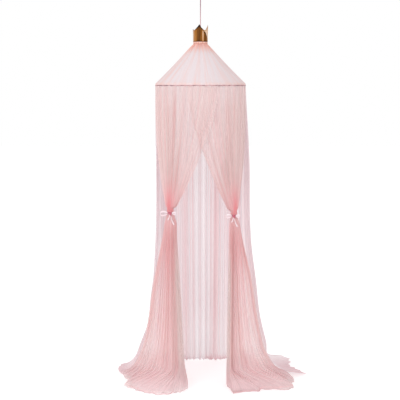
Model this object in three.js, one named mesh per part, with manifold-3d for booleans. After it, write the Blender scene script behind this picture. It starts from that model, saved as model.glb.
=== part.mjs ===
// A hanging bed canopy with a crown on top. A plate and hook hold it to the ceiling. A cord runs down from
// the hook into a spoked hub, which carries a gathered cloth cone. The cone is spread by a sprung hoop made
// of four rods, and sheer curtains fall from the hoop to the floor. The two front panels cross over at the
// top and are drawn aside by ribbons tied in bows. Millimetres, Z up, the front looks along -Y, and the
// origin is the middle of the ceiling plate's upper face.

import * as THREE from 'three';
import { mergeVertices } from 'three/addons/utils/BufferGeometryUtils.js';
import Module from 'manifold-3d';

const wasm = await Module();
wasm.setup();

// Clearances
const gap = 0.3; // between pieces that touch
const overrun = 2; // a cutter passes the face that it cuts by this much

// Ceiling plate: a turned steel disc with a boss that takes the hook's shank
const plateRadius = 26;
const plateThickness = 4;
const plateChamfer = 1.5;
const plateSkin = 1.6; // metal left above the shank's blind hole
const bossRadius = 7;
const bossHeight = 5;
const screwHoleRadius = 2.2;
const screwHeadRadius = 4.2;
const screwOffset = 17; // from the plate's middle to each screw hole

// Ceiling hook: bent round wire, open on its left side
const wireRadius = 2.5;
const hookRadius = 11; // to the middle of the wire
const shankRun = 6; // straight wire below the boss

// Hanging cord, with a spliced eye over the hook and a stopper knot under the hub
const cordRadius = 2.75;
const cordRun = 296; // from the eye's knot to the stopper knot
const eyeDepth = 30; // from the hook's wire to the eye's knot
const eyeKnotRadius = 7;
const eyeKnotLength = 16;
const stopperRadius = 9;
const stopperLength = 15;

// Hub: a moulded ring with spokes that spreads the neck of the cone
const hubRadius = 42.5;
const hubHeight = 16;
const hubRimWall = 3;
const hubBossRadius = 11;
const hubBoreClearance = 0.85; // round the cord, which the canopy turns on
const spokeWidth = 4;
const spokeHeight = 9;

// Crown: a leatherette strip cut into points, wound round the neck with its ends lapped
const crownWall = 1.1;
const crownLiningWall = 0.6;
const crownHeight = 109; // to the tip of the front point
const crownLean = 2; // how far the points lean out at their tips
const liningSetback = 2.5; // the lining stops this far below the crown's edge

// Neck band: a gathered strip of cloth under the crown
const neckBandHeight = 12;
const neckBandWall = 2.2;
const neckBandPucker = 0.6;
const neckSeat = 1; // from the top of the cone to the band

// Roof: a cone of closely woven cloth from the hub to the hoop
const roofHeight = 268; // from the neck to the seam at the hoop
const roofCloth = 2;
const roofPleat = 2.4; // depth of the gathers at the neck
const collarRise = 6; // cloth turned up above the hub
const roofLip = 6; // straight cloth between the hoop and the seam

// Hoop: four sprung rods, joined by ferrules, in a cloth sleeve
const seamRadius = 296; // middle of the cloth at the seam
const rodRadius = 4;
const rodEndGap = 1;
const ferruleClearance = 0.5;
const ferruleWall = 1.3;
const sleeveClearance = 1.5;
const sleeveCloth = 0.9;
const sleeveOpening = 44; // slot at the back where the rods go in
const wrapClearance = 0.9; // between the sleeve and the roof cloth round it
const pipingRadius = 2;

// Curtains: sheer cloth that reaches the floor and trails on it
const curtainDrop = 2013; // from the seam to the floor
const curtainDepth = 6; // thickness of the pleated cloth
const frontFold = 4; // depth of the main folds in the front panels
const backFold = 6;
const crossClearance = 4; // between the front panels where one passes behind the other
const hemDepth = 15; // thickness of the cloth that lies on the floor

// Ties: satin ribbon round each drawn panel, in a bow
const tieDepth = 185; // from the middle of the canopy forward to the ties
const waistHalfWidth = 23.5;
const waistHalfDepth = 18;
const ribbonWidth = 12;
const ribbonThickness = 1;
const bowKnotWidth = 13;
const bowKnotDepth = 11;
const bowKnotHeight = 12;
const bowKnotRound = 3;
const loopDroop = THREE.MathUtils.degToRad(3.5);

// Sizes that differ between the left and the right panel
const leftPanel = {
  side: -1,
  layer: 1, // outside where the panels cross
  tieDrop: 812, // seam to the top of the ribbon
  tieOut: 196, // sideways from the middle
  crossAngle: 22.5, // degrees past the middle at the seam
  trainOut: 370,
  trainIn: 125,
  trainFront: 146,
  trainBack: 190,
  bundleWall: 9.5, // thickness of the gathered cloth round the hollow below the ribbon
  loopOut: 58,
  loopIn: 30,
  tailLong: 72,
  tailShort: 40,
};
const rightPanel = {
  side: 1,
  layer: -1,
  tieDrop: 830,
  tieOut: 217,
  crossAngle: 17.5,
  trainOut: 445,
  trainIn: 42,
  trainFront: 115,
  trainBack: 185,
  bundleWall: 6.5,
  loopOut: 34,
  loopIn: 44,
  tailLong: 66,
  tailShort: 38,
};
const panelOuterAngle = 82; // degrees from the front to the panel's outer edge
const backEdgeAngle = 97; // degrees from the back to the back curtain's edges at the seam
const backSeamAngle = 32; // degrees from the back to the seams between its three widths

// Counts
const roundFacets = 24;
const drillFacets = 12;
const cordFacets = 8;
const knotFacets = 12;
const hookSteps = 24;
const eyeSteps = 28;
const cordSteps = 22;
const eyeKnotTurns = 4;
const stopperTurns = 3;
const neckFacets = 36;
const crownRows = 2;
const hoopRods = 4;
const hoopSteps = 16; // to each rod
const sleeveSteps = 44;
const pipingSteps = 48;
const spokes = 6;
const roofPleats = 18;
const facetsPerPleat = 3;
const panelFolds = 7;
const backFolds = 4; // to each width
const facetsPerFold = 4;
const hollowColumns = 9;

// How the front panels sweep in from the seam to the ribbon: levels down the drop
const sweepShares = [0, 0.1, 0.24, 0.4, 0.55, 0.7, 0.85];
const crossStartShare = 0.32; // of the seam's radius: nearer the middle than this, the panels lie two deep
const crossEndShare = 0.6;
const ruffleShare = 0.07; // how deep the folds are below the ribbon

// How the front panels open out below the ribbon: drop, then outward, inward, forward and backward reach
const bundleShares = [
  [0, 0, 0, 0, 0],
  [0.06, 0.04, 0.16, 0.07, 0.05],
  [0.145, 0.075, 0.165, 0.12, 0.09],
  [0.31, 0.15, 0.26, 0.25, 0.19],
  [0.525, 0.235, 0.42, 0.33, 0.33],
  [0.735, 0.365, 0.56, 0.45, 0.53],
  [0.86, 0.55, 0.65, 0.56, 0.77],
  [0.935, 0.77, 0.71, 0.7, 0.9],
  [0.98, 0.93, 0.88, 0.9, 1],
];

const hollowLevels = [2, 7]; // the first and last of these levels that the hollow inside the cloth takes

// The trains' outlines on the floor, from the outer edge to the inner: outward and forward reach
const leftTrainFrontShares = [
  [0.98, -1.05],
  [0.846, -0.495],
  [0.778, -0.42],
  [0.932, -0.05],
  [0.76, 0.226],
  [0.54, 0.623],
  [0.37, 0.815],
  [0.192, 1],
  [-0.088, 0.815],
  [-0.536, 0.712],
  [-0.984, 0.295],
];
const leftTrainBackShares = [
  [0.97, -1.12],
  [0.74, -1.09],
  [0.36, -1],
  [0.01, -0.895],
  [-0.61, -0.66],
  [-0.89, -0.29],
  [-0.97, 0.2],
];
const rightTrainFrontShares = [
  [0.99, -0.9],
  [1, -0.38],
  [0.863, -0.205],
  [0.953, 0.08],
  [0.757, 0.55],
  [0.5, 0.443],
  [0.348, 0.79],
  [0.22, 0.72],
  [0.038, 1],
  [-0.405, 0.48],
  [-0.93, 0.043],
];
const rightTrainBackShares = [
  [0.96, -0.99],
  [0.636, -1.03],
  [0.3, -0.97],
  [0.05, -0.865],
  [-0.64, -0.57],
  [-0.976, -0.19],
  [-0.9, -0.03],
];

// Levels down the back curtain's drop
const backFallShares = [0, 0.06, 0.2, 0.38, 0.55, 0.68, 0.78, 0.87, 0.93, 0.97, 1];

// How the back curtain swings out as it falls, on its left and on its right: drop, then reach
const leftFallShares = [
  [0, 0],
  [0.3, 0],
  [0.55, 0.03],
  [0.64, 0.065],
  [0.72, 0.137],
  [0.82, 0.225],
  [0.9, 0.43],
  [0.945, 0.56],
  [0.982, 0.8],
  [1, 1],
];
const rightFallShares = [
  [0, 0],
  [0.12, 0.026],
  [0.25, 0.06],
  [0.46, 0.081],
  [0.52, 0.1],
  [0.655, 0.18],
  [0.78, 0.25],
  [0.87, 0.346],
  [0.94, 0.43],
  [0.982, 0.72],
  [1, 1],
];

// How far the back curtain reaches past the hoop on the floor, from its left edge round to its right edge:
// place round the curtain, then reach as a share of the hoop
const backReachShares = [
  [-1, 0.85],
  [-0.83, 1.06],
  [-0.7, 0.84],
  [-0.48, 0.27],
  [-0.24, 0.1],
  [0, 0.05],
  [0.3, 0.16],
  [0.5, 0.5],
  [0.73, 1.48],
  [0.84, 1.27],
  [1, 1.53],
];
const hemDrawShare = 0.856; // the back curtain's edges stand this much closer to the back at the floor

// The crown's upper edge, from the inner end of the strip round to the outer: turns, then height
const crownEdgeShares = [
  [0, 0.6],
  [0.0833, 0.66],
  [0.1667, 0.68],
  [0.3125, 1],
  [0.4167, 0.66],
  [0.5208, 0.93],
  [0.625, 0.6],
  [0.7292, 0.76],
  [0.8542, 0.64],
  [0.9167, 0.745],
  [0.9583, 0.86],
  [1, 1],
  [1.0417, 0.8],
  [1.0833, 0.66],
  [1.1354, 0.52],
  [1.1771, 0.34],
  [1.2188, 0.06],
];
const crownTurns = 1.2188; // the strip goes round once and laps over itself
const liningTurns = 0.979;
const crownFrontAngle = -7.5; // degrees from the front to the front point
const crownStep = 7.5; // degrees to each facet

// Heights that follow from the sizes above
const hookBendAngle = THREE.MathUtils.degToRad(50);
const hookBendRun = hookRadius / Math.tan(hookBendAngle);
const bossBottom = -plateThickness - bossHeight;
const hookCentre = bossBottom - shankRun - hookBendRun - hookRadius / Math.sin(hookBendAngle);
const wireHeight = hookCentre - hookRadius;
const eyeKnotTop = wireHeight - eyeDepth;
const cordTop = eyeKnotTop - eyeKnotLength - gap;
const hubBottom = cordTop - cordRun;
const hubTop = hubBottom + hubHeight;
const coneTop = hubBottom - neckSeat;
const neckBandBottom = coneTop + neckSeat;
const crownBottom = neckBandBottom + neckBandHeight + gap;
const seamHeight = coneTop - roofHeight;
const curtainTop = seamHeight - pipingRadius - gap;
const floorHeight = seamHeight - curtainDrop;

// Radii that follow
const collarRadius = hubRadius + gap;
const liningRadius = collarRadius + roofCloth + gap;
const crownRadius = liningRadius + crownLiningWall + gap;
const ferruleBore = rodRadius + ferruleClearance;
const ferruleRadius = ferruleBore + ferruleWall;
const sleeveBore = ferruleRadius + sleeveClearance;
const sleeveRadius = sleeveBore + sleeveCloth;
const wrapRadius = sleeveRadius + wrapClearance;
const hoopRadius = seamRadius - wrapRadius - roofCloth / 2;
const hoopHeight = seamHeight + pipingRadius + gap + roofLip;

const canopy = new THREE.Group();

function addPiece(name, geometry, color, roughness, metalness = 0) {
  const material = new THREE.MeshStandardMaterial({ color, roughness, metalness });
  const mesh = new THREE.Mesh(geometry, material);
  mesh.name = name;
  canopy.add(mesh);
  return mesh;
}

// Boolean cuts and joins
function toSolid(geometry) {
  const bare = geometry.clone();
  bare.deleteAttribute('normal');
  bare.deleteAttribute('uv');
  const merged = mergeVertices(bare, gap / 1000);
  const vertProperties = new Float32Array(merged.attributes.position.array);
  const triVerts = new Uint32Array(merged.index.array);
  return new wasm.Manifold(new wasm.Mesh({ numProp: 3, vertProperties, triVerts }));
}

function fromSolid(solid) {
  const mesh = solid.getMesh();
  const geometry = new THREE.BufferGeometry();
  geometry.setAttribute('position', new THREE.BufferAttribute(new Float32Array(mesh.vertProperties), 3));
  geometry.setIndex(new THREE.BufferAttribute(new Uint32Array(mesh.triVerts), 1));
  geometry.computeVertexNormals();
  return geometry;
}

// A turned piece: the profile's points are [radius, height], and the turned axis is made to stand along Z
function turned(profile, facets = roundFacets) {
  const points = profile.map(([radius, height]) => new THREE.Vector2(radius, height));
  if (THREE.ShapeUtils.area(points) < 0) {
    points.reverse();
  }
  return new THREE.LatheGeometry(points, facets).rotateX(Math.PI / 2);
}

// A ring turned from a closed profile
function turnedRing(profile, facets = roundFacets) {
  return turned([...profile, profile[0]], facets);
}

function circleShape(radius, sides) {
  const points = [];
  for (let i = 0; i < sides; i += 1) {
    const angle = (i / sides) * 2 * Math.PI;
    points.push(new THREE.Vector2(radius * Math.cos(angle), radius * Math.sin(angle)));
  }
  return new THREE.Shape(points);
}

function rodAlong(path, radius, sides, steps) {
  const options = { extrudePath: path, steps, bevelEnabled: false };
  return new THREE.ExtrudeGeometry(circleShape(radius, sides), options);
}

function tubeAlong(path, radius, bore, sides, steps) {
  const section = circleShape(radius, sides);
  section.holes.push(circleShape(bore, sides));
  return new THREE.ExtrudeGeometry(section, { extrudePath: path, steps, bevelEnabled: false });
}

// A level arc about the middle of the canopy, between two angles in degrees from the front
class HoopArc extends THREE.Curve {
  constructor(radius, height, start, end) {
    super();
    Object.assign(this, { radius, height, start, end });
  }

  getPoint(t) {
    const angle = THREE.MathUtils.degToRad(THREE.MathUtils.lerp(this.start, this.end, t));
    return new THREE.Vector3(this.radius * Math.sin(angle), -this.radius * Math.cos(angle), this.height);
  }
}

function signedVolume(positions, index) {
  const a = new THREE.Vector3();
  const b = new THREE.Vector3();
  const c = new THREE.Vector3();
  let volume = 0;
  for (let i = 0; i < index.length; i += 3) {
    a.fromArray(positions, index[i] * 3);
    b.fromArray(positions, index[i + 1] * 3);
    c.fromArray(positions, index[i + 2] * 3);
    volume += a.dot(b.cross(c)) / 6;
  }
  return volume;
}

// A sheet with two faces, closed along its edges. pointAt(i, j, face) gives a point of the outer face where
// face is 1 and of the inner face where it is -1. A sheet that wraps has no side edges.
function sheetSolid(columns, rows, pointAt, wraps = false) {
  const across = wraps ? columns : columns + 1;
  const positions = [];
  for (const face of [1, -1]) {
    for (let j = 0; j <= rows; j += 1) {
      for (let i = 0; i < across; i += 1) {
        positions.push(...pointAt(i, j, face));
      }
    }
  }
  const at = (i, j, face) => (face > 0 ? 0 : across * (rows + 1)) + j * across + (i % across);
  const index = [];
  const quad = (a, b, c, d) => index.push(a, b, c, a, c, d);
  for (let i = 0; i < columns; i += 1) {
    for (let j = 0; j < rows; j += 1) {
      quad(at(i, j, 1), at(i, j + 1, 1), at(i + 1, j + 1, 1), at(i + 1, j, 1));
      quad(at(i + 1, j, -1), at(i + 1, j + 1, -1), at(i, j + 1, -1), at(i, j, -1));
    }
    quad(at(i + 1, 0, 1), at(i + 1, 0, -1), at(i, 0, -1), at(i, 0, 1));
    quad(at(i, rows, 1), at(i, rows, -1), at(i + 1, rows, -1), at(i + 1, rows, 1));
  }
  if (!wraps) {
    for (let j = 0; j < rows; j += 1) {
      quad(at(0, j, 1), at(0, j, -1), at(0, j + 1, -1), at(0, j + 1, 1));
      quad(at(columns, j, 1), at(columns, j + 1, 1), at(columns, j + 1, -1), at(columns, j, -1));
    }
  }
  if (signedVolume(positions, index) < 0) {
    index.reverse();
  }
  const geometry = new THREE.BufferGeometry();
  geometry.setAttribute('position', new THREE.BufferAttribute(new Float32Array(positions), 3));
  geometry.setIndex(index);
  geometry.computeVertexNormals();
  return geometry;
}

// Reads a table of shares at a place along its first column, on straight runs between its rows
function readShares(table, place) {
  const last = table.length - 1;
  if (place <= table[0][0]) {
    return table[0];
  }
  if (place >= table[last][0]) {
    return table[last];
  }
  const next = table.findIndex((row) => row[0] > place);
  const t = (place - table[next - 1][0]) / (table[next][0] - table[next - 1][0]);
  return table[next].map((value, column) => THREE.MathUtils.lerp(table[next - 1][column], value, t));
}

// Reads a table of outline points evenly from its first row to its last
function alongOutline(outline, t) {
  const place = t * (outline.length - 1);
  const start = Math.min(Math.floor(place), outline.length - 2);
  const [outA, frontA] = outline[start];
  const [outB, frontB] = outline[start + 1];
  return [
    THREE.MathUtils.lerp(outA, outB, place - start),
    THREE.MathUtils.lerp(frontA, frontB, place - start),
  ];
}

// Ceiling plate
function ceilingPlate() {
  const socket = wireRadius + gap;
  const disc = turned([
    [0, 0],
    [plateRadius, 0],
    [plateRadius, plateChamfer - plateThickness],
    [plateRadius - plateChamfer, -plateThickness],
    [bossRadius, -plateThickness],
    [bossRadius, bossBottom],
    [socket, bossBottom],
    [socket, -plateSkin],
    [0, -plateSkin],
  ]);
  let solid = toSolid(disc);
  const sink = screwHeadRadius - screwHoleRadius;
  for (const way of [-1, 1]) {
    const drill = turned([
      [0, overrun],
      [screwHoleRadius, overrun],
      [screwHoleRadius, sink - plateThickness],
      [screwHeadRadius, -plateThickness],
      [screwHeadRadius, -plateThickness - overrun],
      [0, -plateThickness - overrun],
    ], drillFacets);
    drill.translate(0, way * screwOffset, 0);
    solid = solid.subtract(toSolid(drill));
  }
  return fromSolid(solid);
}
addPiece('ceiling_plate', ceilingPlate(), 0xe9e6e2, 0.35, 0.6);

// Ceiling hook, bent in the XZ plane: shank, bend, and a round bowl that stays open beside the shank
const hookTip = THREE.MathUtils.degToRad(-188);

function ceilingHook() {
  const bowlPoint = (angle) => new THREE.Vector3(
    hookRadius * Math.cos(angle),
    0,
    hookCentre + hookRadius * Math.sin(angle),
  );
  const shankTop = new THREE.Vector3(0, 0, -plateSkin - gap);
  const bendTop = new THREE.Vector3(0, 0, bossBottom - shankRun);
  const corner = new THREE.Vector3(0, 0, hookCentre + hookRadius / Math.sin(hookBendAngle));
  const path = new THREE.CurvePath();
  path.add(new THREE.LineCurve3(shankTop, bendTop));
  path.add(new THREE.QuadraticBezierCurve3(bendTop, corner, bowlPoint(hookBendAngle)));
  const bowl = new THREE.Curve();
  bowl.getPoint = (t) => bowlPoint(THREE.MathUtils.lerp(hookBendAngle, hookTip, t));
  path.add(bowl);
  return rodAlong(path, wireRadius, cordFacets, hookSteps);
}
addPiece('ceiling_hook', ceilingHook(), 0xe9e6e2, 0.3, 0.7);

// Eye of the cord: over the hook's wire, then down both sides to the knot
const legSpreadShares = [0.4, 0.6]; // the legs part between these shares of the way up from the knot

function cordEye() {
  const [partStart, partEnd] = legSpreadShares;
  const turn = wireRadius + gap + cordRadius;
  const leg = cordRadius + gap / 2;
  const legPath = (way) => [
    new THREE.Vector3(0, way * leg, eyeKnotTop + gap),
    new THREE.Vector3(0, way * leg, THREE.MathUtils.lerp(eyeKnotTop, wireHeight, partStart)),
    new THREE.Vector3(0, way * turn, THREE.MathUtils.lerp(eyeKnotTop, wireHeight, partEnd)),
    new THREE.Vector3(0, way * turn, wireHeight),
  ];
  const bow = new THREE.Curve();
  bow.getPoint = (t) => new THREE.Vector3(
    0,
    turn * Math.cos(Math.PI * t),
    wireHeight + turn * Math.sin(Math.PI * t),
  );
  const path = new THREE.CurvePath();
  path.add(new THREE.CubicBezierCurve3(...legPath(1)));
  path.add(bow);
  path.add(new THREE.CubicBezierCurve3(...legPath(-1).reverse()));
  return rodAlong(path, cordRadius, cordFacets, eyeSteps);
}
addPiece('cord_eye', cordEye(), 0xd9a9ad, 0.8);

// A knot with turns of cord round it, given its top, length, radius and number of turns
const turnCrownShares = [0.3, 0.7]; // the crown of each turn, down its depth

function knotBody(top, length, radius, turns) {
  const [crownStart, crownEnd] = turnCrownShares;
  const profile = [[0, top]];
  const groove = radius - cordRadius / 2;
  for (let i = 0; i < turns; i += 1) {
    const start = top - (length * i) / turns;
    const end = top - (length * (i + 1)) / turns;
    profile.push([groove, start]);
    profile.push([radius, THREE.MathUtils.lerp(start, end, crownStart)]);
    profile.push([radius, THREE.MathUtils.lerp(start, end, crownEnd)]);
  }
  profile.push([groove, top - length], [0, top - length]);
  return turned(profile, knotFacets);
}
addPiece('eye_knot', knotBody(eyeKnotTop, eyeKnotLength, eyeKnotRadius, eyeKnotTurns), 0xd9a9ad, 0.8);

// Cord, from the eye's knot to the stopper knot
const cordPath = new THREE.LineCurve3(new THREE.Vector3(0, 0, cordTop), new THREE.Vector3(0, 0, hubBottom));
addPiece('hanging_cord', rodAlong(cordPath, cordRadius, cordFacets, cordSteps), 0xd9a9ad, 0.8);
const stopper = knotBody(hubBottom - gap, stopperLength, stopperRadius, stopperTurns);
addPiece('stopper_knot', stopper, 0xd9a9ad, 0.8);

// Hub: rim and boss joined by spokes
function topHub() {
  const rimInner = hubRadius - hubRimWall;
  const ring = (outer, inner) => turnedRing([
    [inner, hubBottom],
    [outer, hubBottom],
    [outer, hubTop],
    [inner, hubTop],
  ]);
  let solid = toSolid(ring(hubRadius, rimInner));
  solid = solid.add(toSolid(ring(hubBossRadius, cordRadius + hubBoreClearance)));
  const inner = hubBossRadius - hubRimWall / 2;
  const outer = hubRadius - hubRimWall / 2;
  for (let i = 0; i < spokes; i += 1) {
    const bar = new THREE.BoxGeometry(outer - inner, spokeWidth, spokeHeight);
    bar.translate((outer + inner) / 2, 0, hubBottom + hubHeight / 2);
    bar.rotateZ((i / spokes) * 2 * Math.PI);
    solid = solid.add(toSolid(bar));
  }
  return fromSolid(solid);
}
addPiece('top_hub', topHub(), 0xf1ece6, 0.5);

// Crown strip: one wall of it at a radius outside the neck, with its upper edge lowered by a setback
function crownStrip(innerRadius, wall, turns, setback) {
  const columns = Math.round((turns * 360) / crownStep);
  const growth = crownWall + gap; // the strip winds outward by this much in each turn
  const pointAt = (i, j, face) => {
    const turn = (i / columns) * turns;
    const top = crownHeight * readShares(crownEdgeShares, turn)[1] - setback;
    const rise = (j / crownRows) * top;
    const lean = crownLean * (rise / crownHeight) ** 2;
    const radius = innerRadius + growth * turn + lean + (face > 0 ? wall : 0);
    const angle = THREE.MathUtils.degToRad(crownFrontAngle + 360 * turn);
    return [radius * Math.sin(angle), -radius * Math.cos(angle), crownBottom + rise];
  };
  return sheetSolid(columns, crownRows, pointAt);
}
addPiece('crown_band', crownStrip(crownRadius, crownWall, crownTurns, 0), 0xa97c4f, 0.45, 0.35);
const crownLining = crownStrip(liningRadius, crownLiningWall, liningTurns, liningSetback);
addPiece('crown_lining', crownLining, 0xe4c3ae, 0.9);

// Neck band, puckered by two rows of gathering: up the band, then how far it is drawn in
const puckerShares = [
  [0, 1],
  [0.2, 0],
  [0.4, 1],
  [0.7, 0],
  [1, 1],
];

function neckBand() {
  const inner = collarRadius + roofCloth + gap;
  const outer = inner + neckBandWall;
  const heightAt = (share) => neckBandBottom + neckBandHeight * share;
  const outside = puckerShares.map(([share, drawn]) => [outer - neckBandPucker * drawn, heightAt(share)]);
  return turnedRing([[inner, heightAt(0)], ...outside, [inner, heightAt(1)]], neckFacets);
}
addPiece('neck_band', neckBand(), 0xf0c4bb, 0.9);

// Roof: collar round the hub, straight cone, then round the hoop and down to the seam. Down the cone, each
// place has the depth of the gathers there.
const conePleatShares = [
  [0.04, 1],
  [0.3, 0.8],
  [0.65, 0.45],
];
const wrapShares = [0.5, 0]; // from the end of the cone round to the lip
const firstGatherRow = 2; // the collar's top and the start of the cone come before it

function roofCover() {
  const lipBottom = seamHeight + pipingRadius + gap;
  const tangent = (radius) => {
    const across = hoopRadius - collarRadius;
    const down = hoopHeight - coneTop;
    return Math.atan2(down, across) + Math.PI / 2 + Math.asin(radius / Math.hypot(across, down));
  };
  const profileOf = (face) => {
    const cloth = face > 0 ? roofCloth : 0;
    const collar = collarRadius + cloth;
    const wrap = wrapRadius + cloth;
    const start = tangent(wrap);
    const onWrap = (share) => {
      const angle = start * share;
      return [hoopRadius + wrap * Math.cos(angle), hoopHeight + wrap * Math.sin(angle)];
    };
    const coneStart = [collar, coneTop];
    const coneEnd = onWrap(1);
    const onCone = ([share]) => [
      THREE.MathUtils.lerp(coneStart[0], coneEnd[0], share),
      THREE.MathUtils.lerp(coneStart[1], coneEnd[1], share),
    ];
    return [
      [collar, hubTop + collarRise],
      coneStart,
      ...conePleatShares.map(onCone),
      coneEnd,
      ...wrapShares.map(onWrap),
      [hoopRadius + wrap, lipBottom],
    ];
  };
  const gatherAt = (row) => (conePleatShares[row - firstGatherRow] ?? [0, 0])[1];
  const profiles = { 1: profileOf(1), [-1]: profileOf(-1) };
  const facets = roofPleats * facetsPerPleat;
  const pointAt = (i, j, face) => {
    const [radius, height] = profiles[face][j];
    const angle = (i / facets) * 2 * Math.PI;
    const pleat = roofPleat * gatherAt(j) * Math.max(0, Math.sin(roofPleats * angle));
    const reach = radius + pleat;
    return [reach * Math.sin(angle), -reach * Math.cos(angle), height];
  };
  return sheetSolid(facets, profiles[1].length - 1, pointAt, true);
}
addPiece('roof_cover', roofCover(), 0xeadbdf, 0.9);

// Hoop: each rod covers a quarter, and each ferrule holds two rod ends
const quarter = 360 / hoopRods;
const rodEndAngle = THREE.MathUtils.radToDeg(rodEndGap / 2 / hoopRadius);
const ferruleAngle = quarter / hoopSteps;
const hoopStart = 45; // degrees from the front to the first joint
for (let i = 0; i < hoopRods; i += 1) {
  const start = hoopStart + quarter * i;
  const rodPath = new HoopArc(hoopRadius, hoopHeight, start + rodEndAngle, start + quarter - rodEndAngle);
  addPiece(`hoop_rod_${i + 1}`, rodAlong(rodPath, rodRadius, cordFacets, hoopSteps), 0xf4f2ee, 0.4);
  const ferrulePath = new HoopArc(hoopRadius, hoopHeight, start - ferruleAngle, start + ferruleAngle);
  const ferrule = tubeAlong(ferrulePath, ferruleRadius, ferruleBore, cordFacets, 2);
  addPiece(`hoop_ferrule_${i + 1}`, ferrule, 0xd8d8d8, 0.4);
}

// Sleeve round the hoop, open at the back
const sleeveEndAngle = THREE.MathUtils.radToDeg(sleeveOpening / 2 / hoopRadius);
const sleevePath = new HoopArc(hoopRadius, hoopHeight, sleeveEndAngle - 180, 180 - sleeveEndAngle);
const sleeve = tubeAlong(sleevePath, sleeveRadius, sleeveBore, cordFacets, sleeveSteps);
addPiece('hoop_sleeve', sleeve, 0xf3e4e2, 0.95);

// Piping along the seam
function seamPiping() {
  const sides = 6;
  const profile = [];
  for (let i = 0; i < sides; i += 1) {
    const angle = (i / sides) * 2 * Math.PI;
    const radius = seamRadius + pipingRadius * Math.cos(angle);
    profile.push([radius, seamHeight + pipingRadius * Math.sin(angle)]);
  }
  return turnedRing(profile, pipingSteps);
}
addPiece('seam_piping', seamPiping(), 0xc98f98, 0.9);

// Front panels. Each hangs from the seam, sweeps to its ribbon, and opens again into a train on the floor.
const waistEdgeAngle = 0.16; // radians that keep the drawn cloth's edges from closing to nothing
const sweepPower = 1.5; // the cloth falls nearly straight at first and sweeps over to the ribbon
const liftPower = 3; // how late the crossed panels close up again above the ribbon
const gatherPower = 5; // how late the cloth bunches to the depth of the waist
const frontSettleShare = 0.25; // of the drop to the ribbon, in which the folds grow from the seam
const ruffleRunShare = 0.25; // of the drop below the ribbon, in which the folds open again

// A point of the drawn cloth's section, which is an ellipse where the ribbon goes round it
function drawnPoint(panel, t, face, reach) {
  const angle = THREE.MathUtils.lerp(waistEdgeAngle, Math.PI - waistEdgeAngle, t);
  const sideways = Math.cos(angle) * (Math.cos(angle) > 0 ? reach.out : reach.in);
  const depth = Math.sin(angle) * (face > 0 ? reach.front : reach.back);
  return [panel.tieOut + sideways, -tieDepth - face * depth];
}

const waistReach = {
  out: waistHalfWidth,
  in: waistHalfWidth,
  front: waistHalfDepth,
  back: waistHalfDepth,
};

// The middle of the cloth above the ribbon, at a share of the way across and of the sweep
function sweptPoint(panel, t, sweep) {
  const angle = THREE.MathUtils.degToRad(THREE.MathUtils.lerp(panelOuterAngle, -panel.crossAngle, t));
  const edge = THREE.MathUtils.lerp(waistEdgeAngle, Math.PI - waistEdgeAngle, t);
  const waistOut = panel.tieOut + waistHalfWidth * Math.cos(edge);
  const out = THREE.MathUtils.lerp(seamRadius * Math.sin(angle), waistOut, sweep);
  const left = (1 - sweep) * seamRadius;
  let depth = left * Math.cos(angle);
  if (out < 0) {
    // past the middle the cloth lies against the other panel
    const sine = THREE.MathUtils.clamp((-out - panel.tieOut * sweep) / left, -1, 1);
    depth = left * Math.sqrt(1 - sine * sine);
  }
  return [out, -depth - sweep * tieDepth];
}

const panelColumns = panelFolds * facetsPerFold;
const panelRows = sweepShares.length + bundleShares.length + 1;

// How far the cloth reaches from the ribbon's middle at a level below the ribbon, less the cloth's thickness
function bundleReach(panel, level, wall) {
  const [, outShare, inShare, frontShare, backShare] = bundleShares[level];
  return {
    out: THREE.MathUtils.lerp(waistHalfWidth, panel.trainOut, outShare) - wall,
    in: THREE.MathUtils.lerp(waistHalfWidth, panel.trainIn, inShare) - wall,
    front: THREE.MathUtils.lerp(waistHalfDepth, panel.trainFront, frontShare) - wall,
    back: THREE.MathUtils.lerp(waistHalfDepth, panel.trainBack, backShare) - wall,
  };
}

function bundleHeight(panel, level) {
  const ribbonBottom = seamHeight - panel.tieDrop - ribbonWidth;
  return THREE.MathUtils.lerp(ribbonBottom, floorHeight, bundleShares[level][0]);
}

// The hollow inside the drawn cloth, open at the floor
function bundleHollow(panel) {
  const [first, last] = hollowLevels;
  const rows = last - first + 1;
  const pointAt = (i, j, face) => {
    const level = Math.min(first + j, last);
    const reach = bundleReach(panel, level, panel.bundleWall);
    reach.front *= 1 - ruffleShare;
    reach.back *= 1 - ruffleShare;
    const [out, depth] = drawnPoint(panel, i / hollowColumns, face, reach);
    const height = j < rows ? bundleHeight(panel, level) : floorHeight - overrun;
    return [panel.side * out, depth, height];
  };
  return sheetSolid(hollowColumns, rows, pointAt);
}

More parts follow.
